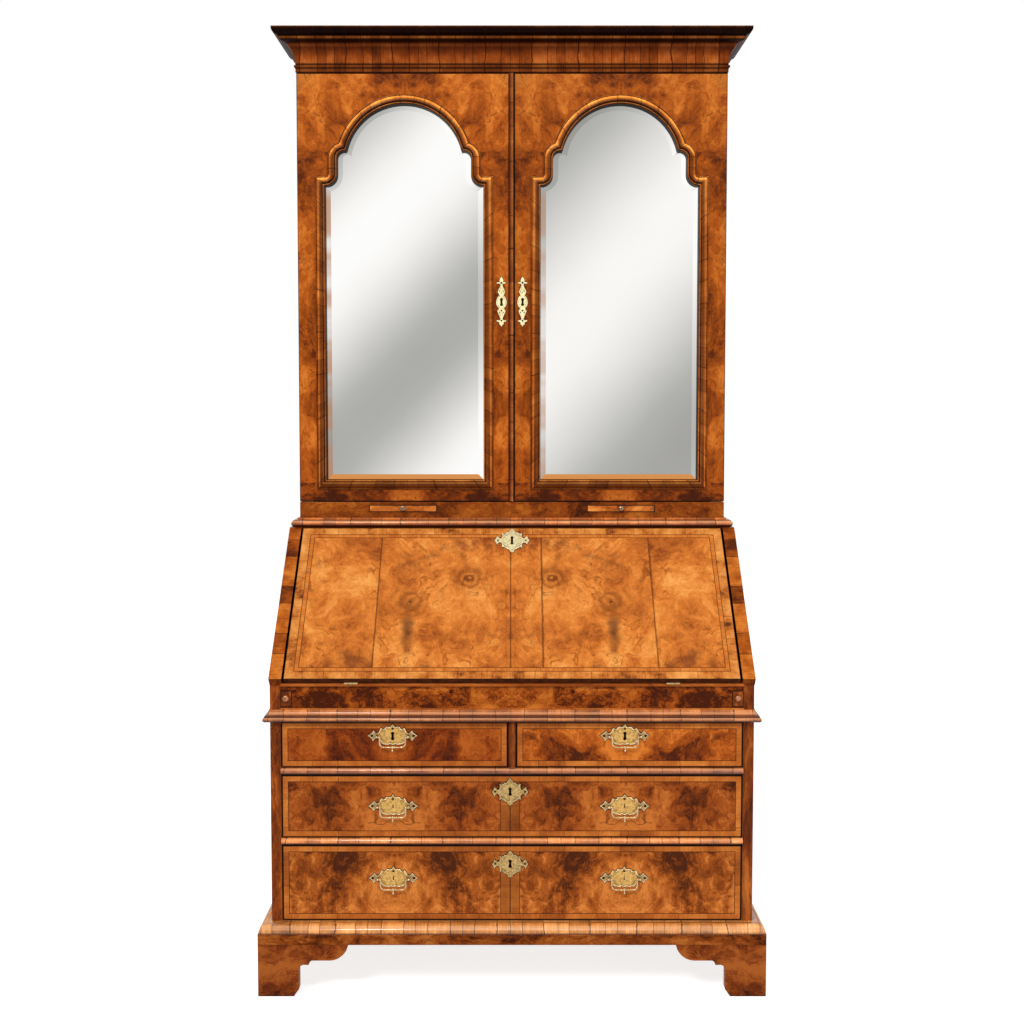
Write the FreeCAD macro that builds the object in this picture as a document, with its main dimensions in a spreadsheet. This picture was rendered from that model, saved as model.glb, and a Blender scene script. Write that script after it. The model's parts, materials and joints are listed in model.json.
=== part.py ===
# A walnut bureau bookcase: a slope-front writing bureau on bracket feet, with a bookcase of
# two mirrored doors standing on it. Millimetres, +Z up, the front faces -Y, and the origin is
# under the middle of the whole piece, on the floor.
import FreeCAD
import Part
import Sketcher
import math
import os
from FreeCAD import Placement, Rotation, Vector

os.makedirs("parts", exist_ok=True)
doc = FreeCAD.newDocument("bureau_bookcase")

# Driving sizes of the whole piece, the carcase, the slope, the bookcase and the fittings
SIZES = {
    # desk carcase
    "case_width": 1016.0,
    "case_depth": 505.0,
    "side_board": 22.0,
    "inner_board": 18.0,
    "back_board": 12.0,
    "foot_height": 110.4,
    "foot_reach": 190.0,
    "foot_board": 22.0,
    "foot_block": 40.0,
    "foot_block_lift": 6.0,
    "plinth_out": 26.3,
    "plinth_band": 23.6,
    "plinth_step": 1.5,
    "plinth_ovolo": 17.5,
    "mitre_overrun": 2.0,
    "opening_low": 163.5,
    "opening_middle": 135.5,
    "opening_high": 98.5,
    "rail_height": 14.5,
    "rail_depth": 40.0,
    "rail_bead_out": 6.0,
    "divider_width": 15.0,
    "mid_height": 25.5,
    "mid_out": 13.9,
    "mid_bead": 5.8,
    "mid_step": 2.0,
    "frieze_board": 20.0,
    # slope, fall and lopers
    "slope_foot": 68.0,
    "slope_lip": 16.9,
    "slope_run": 305.8,
    "slope_rise": 288.6,
    "edging_width": 27.0,
    "edging_thick": 14.0,
    "fall_thick": 16.0,
    "fall_side_gap": 4.0,
    "fall_top_gap": 1.5,
    "loper_width": 24.2,
    "loper_height": 34.0,
    "loper_length": 330.0,
    "loper_knob": 5.0,
    "loper_knob_out": 11.0,
    "loper_knob_low": 19.0,
    "hinge_length": 29.3,
    "hinge_knuckle": 3.0,
    "hinge_leaf": 1.5,
    "hinge_reach": 26.0,
    "hinge_place": 337.0,
    "hinge_pin": 1.2,
    # pigeonholes
    "nest_front": 300.0,
    "nest_board": 8.0,
    "nest_low": 62.0,
    "nest_drawer_board": 6.0,
    "nest_drawer_front": 12.0,
    "nest_knob": 5.0,
    "nest_knob_out": 14.0,
    "nest_gap": 1.0,
    "nest_back_room": 23.0,
    # bookcase
    "book_inset": 22.0,
    "book_setback": 304.0,
    "book_side": 18.0,
    "waist_height": 21.7,
    "waist_out": 17.9,
    "waist_bead": 9.0,
    "waist_top_out": 5.0,
    "candle_rail_height": 57.4,
    "door_opening": 970.0,
    "door_thick": 22.0,
    "door_edge_gap": 2.0,
    "door_back_gap": 0.5,
    "door_split": 4.6,
    "pivot_inset": 3.5,
    "pivot_pin": 2.0,
    "pivot_depth": 6.0,
    "pivot_plate": 1.0,
    "pivot_plate_long": 30.0,
    "pivot_plate_wide": 14.0,
    "case_chamfer": 5.0,
    "shelf_thick": 15.0,
    "shelf_setback": 6.0,
    "cornice_height": 91.5,
    "cornice_out": 48.7,
    "cornice_backing": 30.0,
    "cornice_lid": 8.0,
    "cornice_rail": 18.0,
    # candle slides
    "candle_width": 156.0,
    "candle_height": 17.0,
    "candle_back_room": 61.0,
    "candle_place": 250.0,
    "candle_low": 34.0,
    "candle_knob": 4.0,
    "candle_knob_out": 10.0,
    "candle_cheek": 8.0,
    # mirrored doors
    "outer_stile": 61.8,
    "meeting_stile": 64.2,
    "sight_foot": 50.5,
    "arch_inset": 46.0,
    "arch_spring": 715.5,
    "lobe_radius": 17.0,
    "lobe_rise": 12.0,
    "hollow_radius": 26.0,
    "hollow_drop": 23.0,
    "shoulder_flat": 2.0,
    "frame_lap": 4.0,
    "frame_lip": 8.0,
    "rebate_wide": 10.0,
    "glass_thick": 4.0,
    "glass_gap": 0.5,
    "bevel_lobe": 10.5,
    "bevel_sight": 13.0,
    "bevel_deep": 1.2,
    "glass_board": 5.0,
    "sash_wide": 22.0,
    "sash_out": 8.4,
    "astragal_wide": 11.8,
    "astragal_out": 5.5,
    # drawers
    "drawer_gap": 2.0,
    "drawer_front": 20.0,
    "drawer_side": 12.0,
    "drawer_bottom": 8.0,
    "drawer_back_room": 43.0,
    "drawer_head_room": 12.0,
    "run_gap": 0.3,
    # brass fittings
    "plate_thick": 1.8,
    "handle_half_wide": 52.0,
    "handle_rise": 23.7,
    "handle_left": 250.5,
    "handle_right": 237.0,
    "scutcheon_shift": 4.0,
    "post_half": 33.0,
    "post_out": 10.0,
    "post_ball": 3.2,
    "post_neck": 2.2,
    "post_shank": 2.0,
    "nut_radius": 5.0,
    "nut_thick": 3.0,
    "bail_rod": 1.5,
    "bail_half": 26.8,
    "bail_drop": 22.0,
    "bail_corner": 9.0,
    "bail_pin": 1.0,
    "pin_gap": 0.1,
    "baluster_long": 14.0,
    "baluster_fat": 2.4,
    "key_half": 5.6,
    "key_radius": 2.8,
    "key_waist": 1.7,
    "lock_wide": 62.0,
    "lock_high": 40.0,
    "lock_deep": 9.0,
    "scutcheon_half_wide": 38.6,
    "scutcheon_half_high": 31.7,
    "fall_scutcheon_half_high": 36.0,
    "fall_lock_down": 39.3,
    "door_plate_half_wide": 12.0,
    "door_plate_half_high": 57.8,
    "door_plate_inset": 24.0,
    "door_lock_up": 455.9,
    "door_lock_wide": 26.0,
    "door_lock_high": 80.0,
    "top_handle_up": 68.0,
    "middle_handle_up": 68.3,
    "bottom_handle_up": 91.7,
    "scutcheon_lift": 31.0,
}

sheet = doc.addObject("Spreadsheet::Sheet", "Sizes")
for row, (alias, number) in enumerate(SIZES.items(), start=1):
    sheet.set(f"A{row}", alias)
    sheet.set(f"B{row}", str(number))
    sheet.setAlias(f"B{row}", alias)
doc.recompute()


class Size:
    """A length: the sum of sheet cells that gives it, and its value now."""

    def __init__(self, text, value):
        self.text = text
        self.value = value

    def with_other(self, sign, other, value, swapped=False):
        first, second = (text_of(other), self.text) if swapped else (self.text, text_of(other))
        return Size(f"({first} {sign} {second})", value)

    def __add__(self, other):
        return self.with_other("+", other, self.value + value_of(other))

    def __radd__(self, other):
        return self.with_other("+", other, value_of(other) + self.value, True)

    def __sub__(self, other):
        return self.with_other("-", other, self.value - value_of(other))

    def __rsub__(self, other):
        return self.with_other("-", other, value_of(other) - self.value, True)

    def __mul__(self, other):
        return self.with_other("*", other, self.value * value_of(other))

    def __rmul__(self, other):
        return self.with_other("*", other, value_of(other) * self.value, True)

    def __truediv__(self, other):
        return self.with_other("/", other, self.value / value_of(other))

    def __neg__(self):
        return Size(f"(0 - {self.text})", -self.value)

    def root(self):
        return Size(f"sqrt({self.text})", math.sqrt(self.value))


def text_of(length):
    return length.text if isinstance(length, Size) else repr(length)


def value_of(length):
    return length.value if isinstance(length, Size) else length


class Sheet:
    """The sheet's cells, read by alias."""

    def __getattr__(self, alias):
        return Size(f"Sizes.{alias}", float(sheet.get(alias)))


S = Sheet()
ZERO = Size("0", 0.0)

# Where the main planes lie
FRONT = (S.plinth_out - S.case_depth) / 2
BACK = (S.plinth_out + S.case_depth) / 2
HALF = S.case_width / 2
INNER = HALF - S.side_board
BACK_FACE = BACK - S.back_board
PLINTH_TOP = S.foot_height + S.plinth_band + S.plinth_step + S.plinth_ovolo
LOW_RAIL = PLINTH_TOP + S.opening_low
MIDDLE_FLOOR = LOW_RAIL + S.rail_height
HIGH_RAIL = MIDDLE_FLOOR + S.opening_middle
TOP_FLOOR = HIGH_RAIL + S.rail_height
MID_FOOT = TOP_FLOOR + S.opening_high
MID_TOP = MID_FOOT + S.mid_height
SLOPE_LONG = (S.slope_run * S.slope_run + S.slope_rise * S.slope_rise).root()
SLOPE_COS = S.slope_run / SLOPE_LONG
SLOPE_SIN = S.slope_rise / SLOPE_LONG
FALL_Y = FRONT - S.slope_lip
FALL_Z = MID_TOP + S.slope_foot
DESK_TOP = FALL_Z + S.slope_rise
PIVOT_Y = FALL_Y + S.fall_thick * SLOPE_SIN
PIVOT_Z = FALL_Z - S.fall_thick * SLOPE_COS
OPEN_FALL = PIVOT_Z - S.fall_thick
LIP_Z = FALL_Z - S.slope_lip * S.slope_run / S.slope_rise
BOOK_HALF = HALF - S.book_inset
BOOK_FRONT = FRONT + S.book_setback
SIGHT_HALF = (BOOK_HALF - S.outer_stile - S.meeting_stile) / 2
SIGHT_CENTRE = S.meeting_stile + SIGHT_HALF
CARCASE_FRONT = BOOK_FRONT + S.door_thick + S.door_back_gap
DOOR_SILL = DESK_TOP + S.candle_rail_height
CORNICE_FOOT = DOOR_SILL + S.door_opening
CORNICE_TOP = CORNICE_FOOT + S.cornice_height
DOOR_FOOT = DOOR_SILL + S.door_edge_gap
DOOR_HEAD = CORNICE_FOOT - S.door_edge_gap
SUBPARTS = []


def bind(item, lengths):
    """Tie each named property of an object to its sum of sheet cells."""
    for name, length in lengths.items():
        item.setExpression(name, text_of(length))
    return item


def place(item, x=ZERO, y=ZERO, z=ZERO):
    return bind(item, {".Placement.Base.x": x, ".Placement.Base.y": y, ".Placement.Base.z": z})


def board(name, x, y, z):
    """A flat board between two limits along each axis."""
    item = doc.addObject("Part::Box", name)
    bind(item, {"Length": x[1] - x[0], "Width": y[1] - y[0], "Height": z[1] - z[0]})
    return place(item, x[0], y[0], z[0])


def keep(item, label=None):
    """Mark an object as a sub-part of its own."""
    if label:
        item.Label = label
    SUBPARTS.append(item)
    return item


def group(label, items):
    """Several separate solids in one sub-part."""
    item = doc.addObject("Part::Compound", label)
    item.Links = items
    return keep(item, label)


def shaped(label, solids):
    """A sub-part whose shape is worked out here from the sheet's sizes."""
    item = doc.addObject("Part::Feature", label)
    item.Shape = solids[0] if len(solids) == 1 else Part.makeCompound(solids)
    return item


def cut_by(name, base, tool):
    """A body with another cut out of it."""
    item = doc.addObject("Part::Cut", name)
    item.Base = base
    item.Tool = tool
    return item


def at(x, y, z):
    return Vector(value_of(x), value_of(y), value_of(z))


TOUCH = 1e-6
FRONT_AXIS = Vector(0, -1, 0)
BACK_AXIS = Vector(0, 1, 0)
WIDTH_AXIS = Vector(1, 0, 0)
UP_AXIS = Vector(0, 0, 1)
EIGHTH = math.tan(math.pi / 8)


def facet(points):
    """A flat face round some points, of which neighbours may coincide."""
    corners = [point for index, point in enumerate(points)
               if (point - points[index - 1]).Length > TOUCH]
    return Part.Face(Part.makePolygon(corners + [corners[0]]))


def walls(first, second):
    """The flat faces between two rings of matching points, in two where four aren't flat."""
    faces = []
    for index in range(len(first)):
        corners = []
        for spot in (first[index - 1], first[index], second[index], second[index - 1]):
            if all((spot - corner).Length > TOUCH for corner in corners):
                corners.append(spot)
        if len(corners) == 4:
            across = (corners[1] - corners[0]).cross(corners[2] - corners[0]).normalize()
            if abs(across.dot(corners[3] - corners[0])) > TOUCH:
                faces.append(facet([corners[0], corners[2], corners[3]]))
                corners.pop()
        if len(corners) > 2:
            faces.append(facet(corners))
    return faces


def lofted(rings, closed=False):
    """A solid with flat faces from each ring of points to the next, closed on itself or capped."""
    faces = []
    for first, second in zip(rings, rings[1:]):
        faces += walls(first, second)
    if closed:
        faces += walls(rings[-1], rings[0])
    else:
        faces += [facet(end) for end in (rings[0], rings[-1])
                  if (end[0] - end[1]).Length > TOUCH]
    shell = Part.makeShell(faces)
    shell.sewShape()
    solid = Part.makeSolid(shell)
    if solid.Volume < 0:
        solid.reverse()
    return solid


def turned(spot, along, profile, sides):
    """A turned piece with a number of flat sides, from its (distance along, radius) pairs."""
    across = BACK_AXIS if along.x else WIDTH_AXIS
    upward = along.cross(across)
    angles = [math.tau * (index + 0.5) / sides for index in range(sides)]
    rings = []
    for distance, radius in profile:
        middle = spot + along * value_of(distance)
        rings.append([middle + (across * math.cos(angle) + upward * math.sin(angle))
                      * value_of(radius) for angle in angles])
    return lofted(rings)


def drilled(spot, along, deep, radius, sides):
    """The tool for a round hole: flat sides that a round pin of that radius just touches."""
    reach = value_of(radius) / math.cos(math.pi / sides)
    return turned(spot, along, [(ZERO, reach), (deep, reach)], sides)


def arc_between(start, end, radius, turn):
    """The short arc of a radius from start to end, whose centre lies left (1) or right (-1)."""
    chord = end - start
    rise = math.sqrt(max(radius * radius - chord.Length * chord.Length / 4, 0.0))
    centre = (start + end) / 2 + Vector(-chord.y, chord.x, 0).normalize() * (turn * rise)
    first, last = (start, end) if turn == 1 else (end, start)
    begin = math.atan2(first.y - centre.y, first.x - centre.x)
    finish = math.atan2(last.y - centre.y, last.x - centre.x)
    if finish < begin:
        finish += math.tau
    return Part.ArcOfCircle(Part.Circle(centre, Vector(0, 0, 1), radius), begin, finish)


def draw(sketch, outlines):
    """Draw closed outlines, each vertex and radius held by a sum of sheet cells.

    A vertex is (u, v), or (u, v, radius, turn) where an arc leads to it."""
    rules = []
    held_lengths = []
    for outline in outlines:
        first = sketch.GeometryCount
        spots = [Vector(value_of(vertex[0]), value_of(vertex[1]), 0) for vertex in outline]
        edges = []
        for index, vertex in enumerate(outline):
            start = spots[index - 1]
            if len(vertex) == 4:
                edges.append(arc_between(start, spots[index], value_of(vertex[2]), vertex[3]))
            else:
                edges.append(Part.LineSegment(start, spots[index]))
        sketch.addGeometry(edges, False)
        for index, vertex in enumerate(outline):
            after = (index + 1) % len(outline)
            end = end_at(sketch.Geometry[first + index], spots[index])
            begin = end_at(sketch.Geometry[first + after], spots[index])
            rules.append(Sketcher.Constraint(
                "Coincident", first + index, end, first + after, begin))
            held_lengths.append(None)
            for kind, length in (("DistanceX", vertex[0]), ("DistanceY", vertex[1])):
                rules.append(Sketcher.Constraint(kind, -1, 1, first + index, end, value_of(length)))
                held_lengths.append(length)
            if len(vertex) == 4:
                rules.append(Sketcher.Constraint("Radius", first + index, value_of(vertex[2])))
                held_lengths.append(vertex[2])
    sketch.addConstraint(rules)
    for index, length in enumerate(held_lengths):
        if isinstance(length, Size):
            sketch.setExpression(f"Constraints[{index}]", length.text)


def end_at(edge, spot):
    """Which end of an edge lies at a spot: 1 for its start, 2 for its end."""
    return 1 if (edge.StartPoint - spot).Length < (edge.EndPoint - spot).Length else 2


def new_sketch(body, plane, outlines, offset=None):
    sketch = body.newObject("Sketcher::SketchObject", body.Name + "_sketch")
    origin = [face for face in body.Origin.OriginFeatures if face.Role == plane][0]
    sketch.AttachmentSupport = (origin, [""])
    sketch.MapMode = "FlatFace"
    if offset is not None:
        sketch.setExpression(".AttachmentOffset.Base.z", text_of(offset))
    draw(sketch, outlines)
    return sketch


def pad(name, plane, outlines, low, high):
    """A body whose outline is drawn on a plane and made thick from low to high across it."""
    body = doc.addObject("PartDesign::Body", name)
    feature = body.newObject("PartDesign::Pad", name + "_pad")
    feature.Profile = new_sketch(body, plane, outlines)
    feature.setExpression("Length", text_of(high - low))
    if plane == "XZ_Plane":
        place(body, y=high)
    elif plane == "YZ_Plane":
        place(body, x=low)
    else:
        place(body, z=low)
    return body


def pocket(body, plane, outlines, offset, deep=None, up=True):
    """Cut outlines into a body, from a plane at an offset, to a depth or right through."""
    feature = body.newObject("PartDesign::Pocket", body.Name + "_pocket")
    feature.Profile = new_sketch(body, plane, outlines, offset)
    feature.Reversed = up
    if deep is None:
        feature.Type = "ThroughAll"
    else:
        feature.setExpression("Length", text_of(deep))
    return feature


def rectangle(left, right, low, high):
    return [(left, low), (right, low), (right, high), (left, high)]


def mitred_moulding(label, half, front, profile, out, inward=ZERO):
    """A moulding round the front and both ends: three lengths of one profile, mitred.

    The profile's points are (how far out from the carcase face, height)."""
    lengths = []
    far = out + S.mitre_overrun
    body = pad(label + "_front", "YZ_Plane",
               [[(front - vertex[0],) + vertex[1:] for vertex in profile]],
               -half - far, half + far)
    for sign in (-1, 1):
        inner = half - inward
        corner = [((inner) * sign + half + far, front + inward),
                  ((half + far) * sign + half + far, front - far),
                  ((half + far) * sign + half + far, front + inward)]
        pocket(body, "XY_Plane", [corner if sign == 1 else corner[::-1]], ZERO)
    lengths.append(body)
    for name, sign in (("_left", -1), ("_right", 1)):
        outline = []
        for vertex in profile:
            bend = (vertex[2], -vertex[3] * sign) if len(vertex) == 4 else ()
            outline.append(((half + vertex[0]) * sign, vertex[1]) + bend)
        body = pad(label + name, "XZ_Plane", [outline], front - far, BACK)
        corner = [((half + far) * sign, front - far - BACK),
                  ((half - inward) * sign, front - far - BACK),
                  ((half - inward) * sign, front + inward - BACK)]
        pocket(body, "XY_Plane", [corner if sign == -1 else corner[::-1]], ZERO)
        lengths.append(body)
    return group(label, lengths)


# Carcase of the desk: two side boards cut to the slope, each with a wide edging along it
INSET_SIN = S.edging_thick * SLOPE_SIN
INSET_COS = S.edging_thick * SLOPE_COS
side_outline = [
    (FRONT, S.foot_height), (FRONT, LIP_Z),
    (FALL_Y + INSET_SIN, FALL_Z - INSET_COS),
    (FALL_Y + S.slope_run + INSET_SIN, DESK_TOP - INSET_COS),
    (FALL_Y + S.slope_run, DESK_TOP), (BACK, DESK_TOP), (BACK, S.foot_height)]
edging_outline = [
    (FALL_Y, FALL_Z), (FALL_Y + INSET_SIN, FALL_Z - INSET_COS),
    (FALL_Y + S.slope_run + INSET_SIN, DESK_TOP - INSET_COS), (FALL_Y + S.slope_run, DESK_TOP)]
for hand, sign in (("left", -1), ("right", 1)):
    faces = sorted((HALF * sign, INNER * sign), key=value_of)
    panel = pad(f"side_panel_{hand}", "YZ_Plane", [side_outline], faces[0], faces[1])
    faces = sorted((HALF * sign, (HALF - S.edging_width) * sign), key=value_of)
    edging = pad(f"slope_edging_{hand}", "YZ_Plane", [edging_outline], faces[0], faces[1])
    group(f"case_side_{hand}", [panel, edging])

keep(board("case_back", (-INNER, INNER), (BACK_FACE, BACK),
           (S.foot_height, DESK_TOP - S.inner_board)))
case_floor = board("case_floor", (-INNER, INNER), (FRONT, BACK_FACE),
                   (PLINTH_TOP - S.inner_board, PLINTH_TOP))

# Drawer rails with a half-round front, the upright between the top drawers, the dust boards
RAIL_BACK = FRONT + S.rail_depth
bead_radius = (S.rail_height * S.rail_height / 4 + S.rail_bead_out * S.rail_bead_out) / (
    S.rail_bead_out * 2)


def bead_rail(name, foot):
    outline = [(FRONT, foot), (RAIL_BACK, foot), (RAIL_BACK, foot + S.rail_height),
               (FRONT, foot + S.rail_height)]
    outline[0] = (FRONT, foot, bead_radius, 1)
    return pad(name, "YZ_Plane", [outline], -INNER, INNER)


divider_half = S.divider_width / 2
divider_radius = (divider_half * divider_half + S.rail_bead_out * S.rail_bead_out) / (
    S.rail_bead_out * 2)
divider = pad("upright", "XY_Plane", [[
    (-divider_half, FRONT), (divider_half, FRONT, divider_radius, 1),
    (divider_half, RAIL_BACK), (-divider_half, RAIL_BACK)]], TOP_FLOOR, MID_FOOT)
kicker = board("kicker_rail", (-INNER, INNER), (FRONT, RAIL_BACK),
               (MID_FOOT, MID_TOP - S.inner_board))
group("drawer_rails", [bead_rail("rail_low", LOW_RAIL), bead_rail("rail_high", HIGH_RAIL),
                       kicker, divider])
group("dust_boards", [
    case_floor,
    board("dust_board_low", (-INNER, INNER), (RAIL_BACK, BACK_FACE), (LOW_RAIL, MIDDLE_FLOOR)),
    board("dust_board_high", (-INNER, INNER), (RAIL_BACK, BACK_FACE), (HIGH_RAIL, TOP_FLOOR)),
    board("drawer_guide", (-divider_half, divider_half), (RAIL_BACK, BACK_FACE),
          (TOP_FLOOR, MID_TOP - S.inner_board))])
keep(board("desk_board", (-INNER, INNER), (FRONT, BACK_FACE),
           (MID_TOP - S.inner_board, MID_TOP)))

# Frieze with a square hole at each end for a loper, and the boards that guide the lopers
LOPER_IN = INNER - S.loper_width - S.run_gap * 2
LOPER_FOOT = OPEN_FALL - S.run_gap * 2 - S.loper_height
frieze_outline = [(-INNER, MID_TOP), (INNER, MID_TOP), (INNER, LOPER_FOOT - S.run_gap),
                  (LOPER_IN, LOPER_FOOT - S.run_gap), (LOPER_IN, OPEN_FALL), (INNER, OPEN_FALL),
                  (INNER, LIP_Z), (-INNER, LIP_Z), (-INNER, OPEN_FALL), (-LOPER_IN, OPEN_FALL),
                  (-LOPER_IN, LOPER_FOOT - S.run_gap), (-INNER, LOPER_FOOT - S.run_gap)]
FRIEZE_BACK = FRONT + S.frieze_board
keep(pad("frieze", "XZ_Plane", [frieze_outline], FRONT, FRIEZE_BACK))
guides = []
for hand, sign in (("left", -1), ("right", 1)):
    faces = sorted((LOPER_IN * sign, (LOPER_IN - S.side_board) * sign), key=value_of)
    guides.append(board(f"loper_guide_{hand}", faces, (FRIEZE_BACK, BACK_FACE),
                        (MID_TOP, OPEN_FALL)))
    faces = sorted((LOPER_IN * sign, INNER * sign), key=value_of)
    guides.append(board(f"loper_bearer_{hand}", faces, (FRIEZE_BACK, BACK_FACE),
                        (MID_TOP, LOPER_FOOT - S.run_gap)))
group("loper_guides", guides)

# Writing board, notched along its front edge for the knuckles of the fall's hinges
writing_outline = [(PIVOT_Y + S.run_gap, LIP_Z), (FRIEZE_BACK, LIP_Z), (FRIEZE_BACK, OPEN_FALL),
                   (BACK_FACE, OPEN_FALL), (BACK_FACE, PIVOT_Z), (PIVOT_Y + S.run_gap, PIVOT_Z)]
writing = pad("writing_board", "YZ_Plane", [writing_outline], -INNER, INNER)
hinge_half = S.hinge_length / 2
for sign in (-1, 1):
    left = S.hinge_place * sign - hinge_half - S.run_gap
    right = S.hinge_place * sign + hinge_half + S.run_gap
    reach = S.hinge_knuckle + S.run_gap
    pocket(writing, "YZ_Plane",
           [rectangle(PIVOT_Y - reach, PIVOT_Y + reach, PIVOT_Z - reach, PIVOT_Z + reach)],
           left + INNER, right - left)
    pocket(writing, "YZ_Plane",
           [rectangle(PIVOT_Y, PIVOT_Y + S.hinge_reach + S.run_gap,
                      PIVOT_Z - S.hinge_leaf, PIVOT_Z + S.hinge_leaf)],
           left + INNER, right - left)
keep(writing)

# Top board of the desk, bevelled in front to meet the closed fall
top_outline = [(FALL_Y + S.slope_run, DESK_TOP),
               (FALL_Y + S.slope_run + S.inner_board * S.slope_rise / S.slope_run,
                DESK_TOP - S.inner_board),
               (BACK, DESK_TOP - S.inner_board), (BACK, DESK_TOP)]
keep(pad("desk_top", "YZ_Plane", [top_outline], -INNER, INNER))

# Mouldings: the plinth, the one under the frieze, the one at the waist and the cornice
BAND_TOP = S.foot_height + S.plinth_band
OVOLO_FOOT = BAND_TOP + S.plinth_step
mitred_moulding("plinth_moulding", HALF, FRONT, [
    (ZERO, S.foot_height), (S.plinth_out, S.foot_height), (S.plinth_out, BAND_TOP),
    (S.plinth_out - S.plinth_step, BAND_TOP), (S.plinth_out - S.plinth_step, OVOLO_FOOT),
    (S.plinth_out - S.plinth_step - S.plinth_ovolo, PLINTH_TOP, S.plinth_ovolo, -1),
    (ZERO, PLINTH_TOP)], S.plinth_out)
MID_BEAD_OUT = S.mid_out - S.mid_bead
MID_COVE = S.mid_height - S.mid_bead * 2 - S.mid_step * 2
mitred_moulding("mid_moulding", HALF, FRONT, [
    (ZERO, MID_FOOT), (MID_BEAD_OUT, MID_FOOT),
    (S.mid_out, MID_FOOT + S.mid_bead, S.mid_bead, -1),
    (MID_BEAD_OUT, MID_FOOT + S.mid_bead * 2, S.mid_bead, -1),
    (MID_BEAD_OUT + S.mid_step, MID_FOOT + S.mid_bead * 2),
    (MID_BEAD_OUT + S.mid_step, MID_FOOT + S.mid_bead * 2 + S.mid_step),
    (S.mid_step, MID_TOP - S.mid_step, MID_COVE, 1),
    (S.mid_step, MID_TOP), (ZERO, MID_TOP)], S.mid_out)
WAIST_TOP = DESK_TOP + S.waist_height
mitred_moulding("waist_moulding", BOOK_HALF, BOOK_FRONT, [
    (ZERO, DESK_TOP), (S.waist_out - S.waist_bead, DESK_TOP),
    (S.waist_out, DESK_TOP + S.waist_bead, S.waist_bead, -1),
    (S.waist_out - S.waist_bead, DESK_TOP + S.waist_bead * 2, S.waist_bead, -1),
    (S.waist_top_out, DESK_TOP + S.waist_bead * 2), (S.waist_top_out, WAIST_TOP),
    (ZERO, WAIST_TOP)], S.waist_out)

neck_out_share, neck_foot_share, neck_head_share = 0.031, 0.1, 0.18
neck_radius_share = 0.0403
cove_foot_share, cove_out_share, cove_head_share = 0.197, 0.431, 0.678
cove_radius_share = 0.643
soffit_out_share, soffit_head_share = 0.637, 0.71
quirk_out_share, quirk_head_share, quirk_radius_share = 0.733, 0.816, 0.115
crown_head_share, crown_radius_share = 0.948, 0.15


def cornice_point(out_share, height_share, *bend):
    point = (S.cornice_out * out_share, CORNICE_FOOT + S.cornice_height * height_share)
    return point + ((S.cornice_height * bend[0], bend[1]) if bend else ())


mitred_moulding("cornice", BOOK_HALF, BOOK_FRONT, [
    (-S.cornice_backing, CORNICE_FOOT), cornice_point(neck_out_share, 0),
    cornice_point(neck_out_share, neck_foot_share),
    cornice_point(neck_out_share, neck_head_share, neck_radius_share, -1),
    cornice_point(neck_out_share, cove_foot_share),
    cornice_point(cove_out_share, cove_head_share, cove_radius_share, 1),
    cornice_point(soffit_out_share, soffit_head_share),
    cornice_point(quirk_out_share, quirk_head_share, quirk_radius_share, -1),
    cornice_point(1, crown_head_share, crown_radius_share, -1),
    (S.cornice_out, CORNICE_TOP), (-S.cornice_backing, CORNICE_TOP)],
    S.cornice_out, S.cornice_backing)


# Bracket feet: each a front or back bracket, a side bracket butted behind it and a glue block
toe_share, ankle_share, ankle_foot_share, ankle_head_share = 0.395, 0.453, 0.141, 0.516
cove_end_share, cove_top_share, flat_end_share = 0.511, 0.613, 0.563
step_end_share, step_top_share, ogee_start_share = 0.6, 0.696, 0.789


def swept_radius(along, across):
    """The radius of an arc that leaves along one direction and has moved across by its end."""
    return (along * along + across * across) / (across * 2)


def bracket(name, plane, corner, sign, low, high, start=ZERO, plain=False):
    """One bracket of a foot, its outline measured from the outer corner inwards."""
    wide, tall = S.foot_reach, S.foot_height
    if plain:
        return pad(name, plane, [[(corner, ZERO), (corner + wide * toe_share * sign, ZERO),
                                  (corner + wide * sign, tall), (corner, tall)]], low, high)
    cove = swept_radius(tall * (cove_top_share - ankle_head_share),
                        wide * (cove_end_share - ankle_share))
    step = swept_radius(tall * (step_top_share - cove_top_share),
                        wide * (step_end_share - flat_end_share))
    ogee = swept_radius(wide * (1 - ogee_start_share), tall * (1 - step_top_share))
    points = [(start, ZERO), (wide * toe_share, ZERO),
              (wide * ankle_share, tall * ankle_foot_share),
              (wide * ankle_share, tall * ankle_head_share),
              (wide * cove_end_share, tall * cove_top_share, cove, -1),
              (wide * flat_end_share, tall * cove_top_share),
              (wide * step_end_share, tall * step_top_share, step, -1),
              (wide * ogee_start_share, tall * step_top_share),
              (wide, tall, ogee, 1), (start, tall)]
    outline = []
    for point in points:
        bend = (point[2], point[3] * sign) if len(point) == 4 else ()
        outline.append((corner + point[0] * sign, point[1]) + bend)
    return pad(name, plane, [outline], low, high)


OUTER = HALF + S.plinth_out
OUTER_FRONT = FRONT - S.plinth_out


def between(first, second):
    """Two limits in rising order."""
    return tuple(sorted((first, second), key=value_of))


def foot(label, side, end):
    """A foot at one side (-1 left, 1 right) and one end (-1 front, 1 back, cut plain behind)."""
    corner_x, corner_y = OUTER * side, BACK if end == 1 else OUTER_FRONT
    across = between(corner_y, corner_y - S.foot_board * end)
    along = between(corner_x, corner_x - S.foot_board * side)
    block_x = between(corner_x - S.foot_board * side,
                      corner_x - (S.foot_board + S.foot_block) * side)
    block_y = between(corner_y - S.foot_board * end,
                      corner_y - (S.foot_board + S.foot_block) * end)
    return [bracket(label + "_face", "XZ_Plane", corner_x, -side, across[0], across[1],
                    plain=end == 1),
            bracket(label + "_side", "YZ_Plane", corner_y, -end, along[0], along[1],
                    S.foot_board),
            board(label + "_block", block_x, block_y, (S.foot_block_lift, S.foot_height))]


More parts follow.
